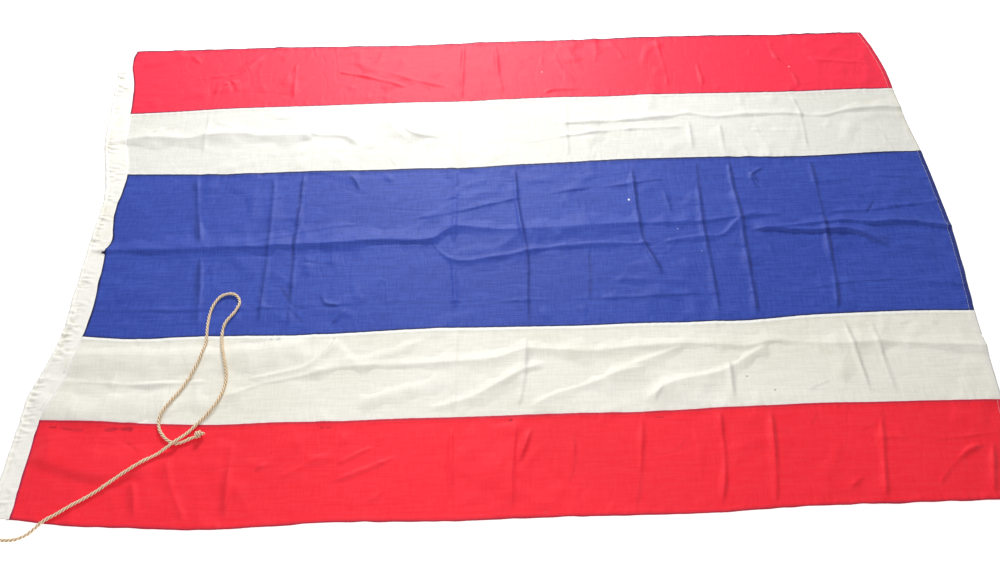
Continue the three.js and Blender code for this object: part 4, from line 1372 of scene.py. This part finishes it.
@dataclass
class HoistRope:
    """The rope that comes out of the heading's lower end, loops over the flag and crosses its own tail.

    Attributes:
        bands: The bands that it lies on.
        finish: Its fibre.
        strand: Its section.
        step: Distance between its rings, in millimetres.
        radius: Its radius, in millimetres.
        crossing: Where it crosses over its tail.
        hump: How high it lifts there, in millimetres.
        hump_reach: How far from the crossing it lifts, in millimetres.
        first_part: The share of its length before which it is the standing part.
    """

    bands: list[Band]
    finish: RopeFinish = field(default_factory=RopeFinish)
    strand: LaidStrand = field(default_factory=LaidStrand)
    step: float = 1.2
    radius: float = 3.0
    crossing: Point = (-0.620, -0.455)
    hump: float = 6.3
    hump_reach: float = 36.0
    first_part: float = 0.5

    def path(self) -> np.ndarray:
        """Return the rope's ring centres, in metres."""
        flat = spaced(smooth_route(np.array(ROPE_ROUTE) * MM, 10), self.step * MM)
        ahead = np.gradient(flat, axis=0)
        ahead /= np.linalg.norm(ahead, axis=1)[:, None]
        aside = np.stack([-ahead[:, 1], ahead[:, 0]], axis=1)
        under = np.max([face_heights(self.bands, *(flat + s * self.radius * MM * aside).T)
                        for s in (-0.9, -0.45, 0.0, 0.45, 0.9)], axis=0)
        highest = np.max([np.roll(under, s) for s in range(-3, 4)], axis=0)
        highest[:4], highest[-4:] = under[:4], under[-4:]
        weights = np.hanning(11)
        padded = np.pad(highest, 5, mode="edge")
        bed = np.maximum(np.convolve(padded, weights / weights.sum(), mode="valid"), under)
        z = bed + (self.radius + 0.2) * MM
        gap = np.hypot(*(flat - self.crossing).T)
        first = np.arange(len(flat)) < self.first_part * len(flat)
        rise = self.hump * MM * smooth_step(1 - gap / (self.hump_reach * MM))
        z = z + np.where(first, rise, 0.0)
        start = np.linspace(0, 1, 14) ** 0.7
        z[:14] = ROPE_EXIT[2] * (1 - start) + z[14] * start
        return np.column_stack([flat, z])

    def build(self) -> tuple[bpy.types.Object, np.ndarray]:
        """Make the rope's mesh, and return it with its ring centres."""
        path = self.path()
        uneven = 1.03 + 0.06 * soft_noise(path[:, 0], path[:, 1], 51, 0.014)
        points, faces, depth = self.strand.tube(path, uneven, 52)
        mesh = mesh_from("hoist_rope_laid", points, faces)
        set_attribute(mesh, "groove", depth)
        return new_object("hoist_rope_laid", mesh), path

    def dress(self, piece: bpy.types.Object, path: np.ndarray, knot: bpy.types.Object,
              groups: dict[str, bpy.types.NodeTree]) -> float:
        """Give the rope its fibre, its body and its node, and return its length.

        Args:
            piece: The rope.
            path: Its ring centres.
            knot: The knot on its tail.
            groups: The shared shader node groups.

        Returns:
            The rope's length in metres.
        """
        fibre = self.finish.make(groups)
        for part, node in ((piece, "hoist_rope"), (knot, "rope_knot")):
            dress_in(part, fibre, node)
        length = float(np.linalg.norm(np.diff(path, axis=0), axis=1).sum())
        return length


@dataclass
class StopperKnot:
    """The stopper knot at the rope's tail, a short coil of the rope with its frayed end standing out.

    Attributes:
        coil: Radius of the coil, in millimetres.
        turns: Its turns.
        advance: Length of the coil, in millimetres.
        tail: Length of the end beyond the coil, in millimetres.
        fibres: Number of loose fibres.
        strand: Its section.
    """

    coil: float = 4.5
    turns: float = 2.3
    advance: float = 12.5
    tail: float = 3.0
    fibres: int = 40
    strand: LaidStrand = field(default_factory=LaidStrand)

    def build(self, path: np.ndarray) -> bpy.types.Object:
        """Make the knot's mesh in line with the rope's end.

        Args:
            path: The rope's ring centres.

        Returns:
            The knot.
        """
        start = path[-1]
        ahead = path[-1] - path[-8]
        ahead[2] = 0
        ahead /= np.linalg.norm(ahead)
        side, up = np.cross(ahead, (0, 0, 1.0)), np.array((0, 0, 1.0))
        t = np.linspace(0, 1, 60)
        angle = 2 * math.pi * self.turns * t - math.pi / 2
        swell = self.coil * smooth_step(np.minimum(t, 1 - t) * 6) * MM
        lift = swell.max() * smooth_step(t * 4)
        centre = start + ahead * (t * self.advance * MM)[:, None] + up * lift[:, None]
        coil = centre + swell[:, None] * (np.cos(angle)[:, None] * side + np.sin(angle)[:, None] * up)
        last = np.linspace(0.05, 1, 10)[:, None]
        end = coil[-1] + last * self.tail * MM * (ahead * 0.9 + side * 0.25) - up * last**2 * 1.5 * MM
        line = spaced(np.vstack([start - ahead * 2 * MM, coil[2:], end]), 0.9 * MM)
        size = 0.92 + 0.05 * np.sin(np.linspace(0, 9, len(line)))
        size[-3:] *= (0.95, 0.85, 0.6)
        made = list(self.strand.tube(line, size, 61))
        rng = np.random.default_rng(62)
        for _ in range(self.fibres):
            toward = ahead + side * rng.normal(0.2, 0.45) + up * rng.normal(0.1, 0.3)
            self.add_fibre(rng, end[-1], toward / np.linalg.norm(toward), made)
        points, faces, depth = made
        mesh = mesh_from("stopper_knot", points, faces)
        set_attribute(mesh, "groove", depth)
        return new_object("stopper_knot", mesh)

    def add_fibre(self, rng: np.random.Generator, root: np.ndarray, toward: np.ndarray, made: list) -> None:
        """Add a loose fibre to the points, faces and depths made so far.

        Args:
            rng: Seeded random numbers.
            root: Where the fibres start.
            toward: The fibre's direction.
            made: The points, the faces and the depths, which are replaced.
        """
        points, faces, depth = made
        length, thick = rng.uniform(1.5, 4.5) * MM, rng.uniform(0.2, 0.36) * MM
        across = np.cross(toward, (0.0, 0.0, 1.0))
        across /= np.linalg.norm(across)
        over = np.cross(across, toward)
        base = root - toward * 1.0 * MM + rng.normal(0, 0.7, 3) * MM
        first = len(points)
        corners = [math.cos(a) * across + math.sin(a) * over for a in (0.0, 2.1, 4.2)]
        ring = [base + thick * c for c in corners]
        bend = rng.normal(0, 0.18, 3) * length
        middle = [base + toward * length * 0.55 + bend * 0.3 + 0.8 * thick * c for c in corners]
        tip = base + toward * length + bend - np.array((0, 0, 0.25)) * length
        made[0] = np.vstack([points, ring, middle, tip])
        a, b, c, d, e, f, g = range(first, first + 7)
        sides = [(a, b, e, d), (b, c, f, e), (c, a, d, f)]
        made[1] = faces + [(c, b, a), *sides, (d, e, g), (e, f, g), (f, d, g)]
        made[2] = np.concatenate([depth, np.zeros(7)])


# --------------------------------------------------------------------------- sewing


def stitch_tree() -> bpy.types.NodeTree:
    """Build the Geometry Nodes tree that lays a stitch at even steps along lines."""
    tree = bpy.data.node_groups.new("stitch_rows", "GeometryNodeTree")
    tree.interface.new_socket("Lines", in_out="INPUT", socket_type="NodeSocketGeometry")
    for name in ("Pitch", "Stitch Length", "Thread Radius", "Jitter"):
        tree.interface.new_socket(name, in_out="INPUT", socket_type="NodeSocketFloat")
    tree.interface.new_socket("Seed", in_out="INPUT", socket_type="NodeSocketInt")
    tree.interface.new_socket("Thread", in_out="INPUT", socket_type="NodeSocketMaterial")
    tree.interface.new_socket("Stitches", in_out="OUTPUT", socket_type="NodeSocketGeometry")
    bench = NodeBench(tree)
    given = bench.add("NodeGroupInput").outputs
    curve = bench.add("GeometryNodeMeshToCurve", {"Mesh": given["Lines"]}).outputs[0]
    even = bench.add("GeometryNodeResampleCurve", {"Curve": curve, "Length": given["Pitch"]}, mode="LENGTH")
    along = bench.add("GeometryNodeInputTangent").outputs[0]
    lean = bench.add("FunctionNodeRandomValue", {"Seed": given["Seed"]}, data_type="FLOAT_VECTOR")
    lean.inputs[0].default_value, lean.inputs[1].default_value = (-1.0, -1.0, -0.4), (1.0, 1.0, 0.4)
    leant = bench.add("ShaderNodeVectorMath", {0: lean.outputs[0], "Scale": given["Jitter"]},
                      operation="SCALE")
    toward = bench.add("ShaderNodeVectorMath", {0: along, 1: leant.outputs[0]}, operation="ADD").outputs[0]
    turned = bench.add("FunctionNodeAlignRotationToVector", {"Vector": toward}, axis="Z").outputs[0]
    size = bench.add("FunctionNodeRandomValue", {"Seed": given["Seed"]}, data_type="FLOAT")
    size.inputs[2].default_value, size.inputs[3].default_value = 0.8, 1.1
    spindle = bench.add("GeometryNodeMeshUVSphere", {"Segments": 6, "Rings": 4, "Radius": 1.0}).outputs[0]
    half = bench.math("MULTIPLY", given["Stitch Length"], 0.5)
    shape = bench.add("ShaderNodeCombineXYZ", {0: given["Thread Radius"], 1: given["Thread Radius"], 2: half})
    scale = bench.add("ShaderNodeVectorMath", {0: shape.outputs[0], "Scale": size.outputs[1]},
                      operation="SCALE")
    laid = bench.add("GeometryNodeInstanceOnPoints", {
        "Points": even.outputs[0], "Instance": spindle, "Rotation": turned, "Scale": scale.outputs[0]})
    real = bench.add("GeometryNodeRealizeInstances", {"Geometry": laid.outputs[0]}).outputs[0]
    made = bench.add("GeometryNodeSetMaterial", {"Geometry": real, "Material": given["Thread"]}).outputs[0]
    bench.add("NodeGroupOutput", {0: made})
    return tree


@dataclass
class StitchRows:
    """Rows of machine stitches along lines on one piece.

    Attributes:
        name: The piece's name.
        lines: Each row's places, in metres.
        thread: The thread's material.
        slot: The material slot of the cloth it is sewn in; not used.
        pitch: Distance between stitches, in millimetres.
        length: Length of a stitch, in millimetres.
        radius: Radius of the thread, in millimetres.
        jitter: How unevenly the stitches lean.
        seed: Seed of that unevenness.
    """

    name: str
    lines: list[np.ndarray]
    thread: bpy.types.Material
    slot: str
    pitch: float = 3.8
    length: float = 3.1
    radius: float = 0.27
    jitter: float = 0.10
    seed: int = 71

    def build(self, tree: bpy.types.NodeTree) -> bpy.types.Object:
        """Lay the stitches and keep them as a plain mesh.

        Args:
            tree: The Geometry Nodes tree that lays stitches.

        Returns:
            The piece.
        """
        edges, first = [], 0
        for line in self.lines:
            edges += [(first + i, first + i + 1) for i in range(len(line) - 1)]
            first += len(line)
        mesh = bpy.data.meshes.new(self.name + "_lines")
        mesh.from_pydata(np.vstack(self.lines).tolist(), edges, [])
        source = new_object(self.name + "_lines", mesh)
        modifier = source.modifiers.new("stitches", "NODES")
        modifier.node_group = tree
        values = {"Pitch": self.pitch * MM, "Stitch Length": self.length * MM,
                  "Thread Radius": self.radius * MM, "Jitter": self.jitter, "Seed": self.seed,
                  "Thread": self.thread}
        for socket in tree.interface.items_tree:
            if socket.in_out == "INPUT" and socket.name in values:
                modifier[socket.identifier] = values[socket.name]
        ready = bpy.context.evaluated_depsgraph_get()
        plain = bpy.data.meshes.new_from_object(source.evaluated_get(ready), depsgraph=ready)
        plain.name = self.name
        bpy.data.objects.remove(source)
        piece = new_object(self.name, plain)
        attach(piece, BODY)
        return piece


THREADS: dict[str, Colour] = {
    "white": (0.84, 0.83, 0.78), "blue": (0.025, 0.055, 0.34), "red": (0.88, 0.015, 0.04),
}


def seam_rows(band: Band) -> list[np.ndarray]:
    """Return the stitch rows of a band's seams and of its upper or lower hem.

    Args:
        band: The band.

    Returns:
        Each row's places, in metres.
    """
    x = np.linspace(-0.852, 0.925, 760)
    flat = []
    edges = ((band.above, -1, band.laps_above, (1.3, 7.6)), (band.below, 1, band.laps_below, (1.6, 6.6)))
    for line, toward, laps, distances in edges:
        if laps is False:
            continue
        for distance in distances if laps else distances[1:]:
            y = line.at(x) + toward * distance * MM
            kept = (x > HOIST_EDGE.at(y) + 2 * MM) & (x < FLY_EDGE.at(y) - 2 * MM)
            flat.append((x[kept], y[kept]))
    return [np.column_stack([px, py, band.top(px, py) + 0.1 * MM]) for px, py in flat]


def fly_rows(band: Band) -> list[np.ndarray]:
    """Return the stitch row of a band's fly hem.

    Args:
        band: The band.

    Returns:
        The row's places, in metres, as the only item.
    """
    ends = [float(line.at(np.array([0.92]))[0]) for line in (band.above, band.below)]
    y = np.linspace(ends[0] - 2 * MM, ends[1] + 2 * MM, 110)
    x = FLY_EDGE.at(y) - 9.6 * MM
    return [np.column_stack([x, y, band.top(x, y) + 0.1 * MM])]


def heading_rows(heading: Heading) -> list[np.ndarray]:
    """Return the heading's stitch rows: one along the channel and two along the inner edge.

    Args:
        heading: The heading.

    Returns:
        Each row's places, in metres.
    """
    y = np.linspace(-0.585, 0.603, 600)
    rows = []
    for off, side in ((10.2, HEADING_OUTER), (-3.0, HOIST_EDGE), (-9.0, HOIST_EDGE)):
        x = side.at(y) + off * MM
        distance = (x - HEADING_OUTER.at(y)) / MM
        rows.append(np.column_stack([x, y, heading.top(x, y, distance) + 0.12 * MM]))
    return rows


# --------------------------------------------------------------------------- the studio


@dataclass(frozen=True)
class SoftLight:
    """A large soft area light.

    Attributes:
        name: The light's name.
        place: Where it stands, in metres.
        target: What it points at.
        size: Its width and height in metres.
        power: Its power in watts.
        colour: Its colour.
    """

    name: str
    place: tuple[float, float, float]
    target: tuple[float, float, float]
    size: tuple[float, float]
    power: float
    colour: Colour = (1.0, 1.0, 1.0)

    def add(self) -> None:
        """Add the light to the scene."""
        light = bpy.data.lights.new(self.name, "AREA")
        light.shape, light.energy, light.color = "RECTANGLE", self.power, self.colour
        light.size, light.size_y = self.size
        lamp = bpy.data.objects.new(self.name, light)
        lamp.location = self.place
        lamp.rotation_euler = (Vector(self.target) - Vector(self.place)).to_track_quat("-Z", "Y").to_euler()
        bpy.context.scene.collection.objects.link(lamp)


@dataclass(frozen=True)
class Studio:
    """A pale floor, soft light from beyond the upper edge, and the camera.

    Attributes:
        camera_place: Where the camera stands, in metres.
        right: The camera's right-hand direction.
        up: The camera's upward direction.
        back: The direction from what it looks at to the camera.
        lens: Its focal length in millimetres.
        sensor: Its sensor's width in millimetres.
        world: Strength of the light from all round.
        glow: How much the floor lifts its own tone.
        lights: The lights.
    """

    camera_place: tuple[float, float, float] = (0.0056, -1.1114, 1.524)
    right: tuple[float, float, float] = (0.99957, -0.01745, -0.02356)
    up: tuple[float, float, float] = (0.02748, 0.83756, 0.54566)
    back: tuple[float, float, float] = (0.01021, -0.54607, 0.83768)
    lens: float = 31.91
    sensor: float = 36.0
    world: float = 0.36
    glow: float = 0.45
    lights: tuple[SoftLight, ...] = (
        SoftLight("key", (-0.22, 1.8, 1.2), (-0.06, -0.15, 0.0), (0.8, 0.5), 49.0),
        SoftLight("fill", (-0.15, -1.5, 1.8), (0.0, -0.6, 0.0), (1.4, 1.2), 20.0),
    )

    def place_camera(self) -> None:
        """Add the camera and make it the scene's."""
        data = bpy.data.cameras.new("camera")
        data.lens, data.sensor_width = self.lens, self.sensor
        data.dof.use_dof = False
        camera = bpy.data.objects.new("camera", data)
        turned = Matrix((self.right, self.up, self.back)).transposed().to_4x4()
        camera.matrix_world = Matrix.Translation(self.camera_place) @ turned
        bpy.context.scene.collection.objects.link(camera)
        bpy.context.scene.camera = camera

    def light(self) -> None:
        """Add the floor, the light from all round and the lamps."""
        half = 9.0
        corners = half * np.array([(-1, -1, 0), (1, -1, 0), (1, 1, 0), (-1, 1, 0)], dtype=float)
        corners[:, 2] = -0.4 * MM
        floor = new_object("floor", mesh_from("floor", corners, [(0, 1, 2, 3)], smooth=False))
        material = bpy.data.materials.new("pale_floor")
        material.use_nodes = True
        shader = material.node_tree.nodes["Principled BSDF"]
        shader.inputs["Base Color"].default_value = rgba((0.95, 0.95, 0.95))
        shader.inputs["Roughness"].default_value = 1.0
        shader.inputs["Specular IOR Level"].default_value = 0.0
        shader.inputs["Emission Color"].default_value = rgba((1.0, 1.0, 1.0))
        shader.inputs["Emission Strength"].default_value = self.glow
        floor.data.materials.append(material)
        world = bpy.data.worlds.new("studio")
        world.use_nodes = True
        world.node_tree.nodes["Background"].inputs[0].default_value = (1.0, 1.0, 1.0, 1.0)
        world.node_tree.nodes["Background"].inputs[1].default_value = self.world
        bpy.context.scene.world = world
        for lamp in self.lights:
            lamp.add()
        bpy.context.scene.view_settings.view_transform = "Standard"


def make_bands() -> list[Band]:
    """Return the flag's five bands, from the top down."""
    return [
        Band("bunting_red_top", "band_red_top", TOP_EDGE, UPPER_RED_SEAM, 64, UPPER_RED, "red_bunting",
             None, False),
        Band("bunting_white_top", "band_white_top", UPPER_RED_SEAM, UPPER_WHITE_SEAM, 64, UPPER_WHITE,
             "white_bunting", True, False),
        Band("bunting_blue", "band_blue", UPPER_WHITE_SEAM, LOWER_WHITE_SEAM, 136, BLUE, "blue_bunting",
             True, False),
        Band("bunting_white_bottom", "band_white_bottom", LOWER_WHITE_SEAM, LOWER_RED_SEAM, 64, LOWER_WHITE,
             "white_bunting", True, False),
        Band("bunting_red_bottom", "band_red_bottom", LOWER_RED_SEAM, BOTTOM_EDGE, 64, LOWER_RED,
             "red_bunting", True, None),
    ]


def report_sewn(piece: bpy.types.Object, sewn: bpy.types.Object) -> None:
    """Report a sewn piece with its stitches."""
    faces, stitched = len(piece.data.polygons), len(sewn.data.polygons)
    LOG.info("%s: %d faces, %d faces of stitches", piece.name, faces, stitched)


def main() -> None:
    """Build the camera, the rope, the bands, the heading, the stitches and the studio, in that order."""
    logging.basicConfig(level=logging.INFO, format="%(message)s")
    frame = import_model()
    LOG.info("the packed frame holds %d nodes", len(frame["nodes"]))
    studio = Studio()
    studio.place_camera()
    groups = {"weave": weave_group(), "soil": soil_group(), "crumple": crumple_group(), "spot": spot_group()}
    bands = make_bands()
    rope = HoistRope(bands)
    rope_piece, path = rope.build()
    knot = StopperKnot().build(path)
    length = rope.dress(rope_piece, path, knot, groups)
    LOG.info("hoist_rope_laid: %.3f m of rope, with its stopper_knot", length)
    tree = stitch_tree()
    threads = {name: ThreadFinish(f"{name}_thread", colour).make() for name, colour in THREADS.items()}
    for number, band in enumerate(bands):
        piece = band.build()
        band.dress(piece, groups)
        thread = threads[band.material_slot.split("_")[0]]
        rows = StitchRows(f"stitches_{number}", seam_rows(band), thread, band.material_slot, seed=71 + number)
        sewn = rows.build(tree)
        hem = StitchRows(f"fly_stitches_{number}", fly_rows(band), threads["white"], band.material_slot,
                         seed=91 + number)
        hem.build(tree)
        report_sewn(piece, sewn)
    heading = Heading()
    piece = heading.build()
    heading.dress(piece, groups)
    rows = StitchRows("stitches_heading", heading_rows(heading), threads["white"], "heading_canvas", seed=80)
    report_sewn(piece, rows.build(tree))
    studio.light()


if __name__ == "__main__":
    main()
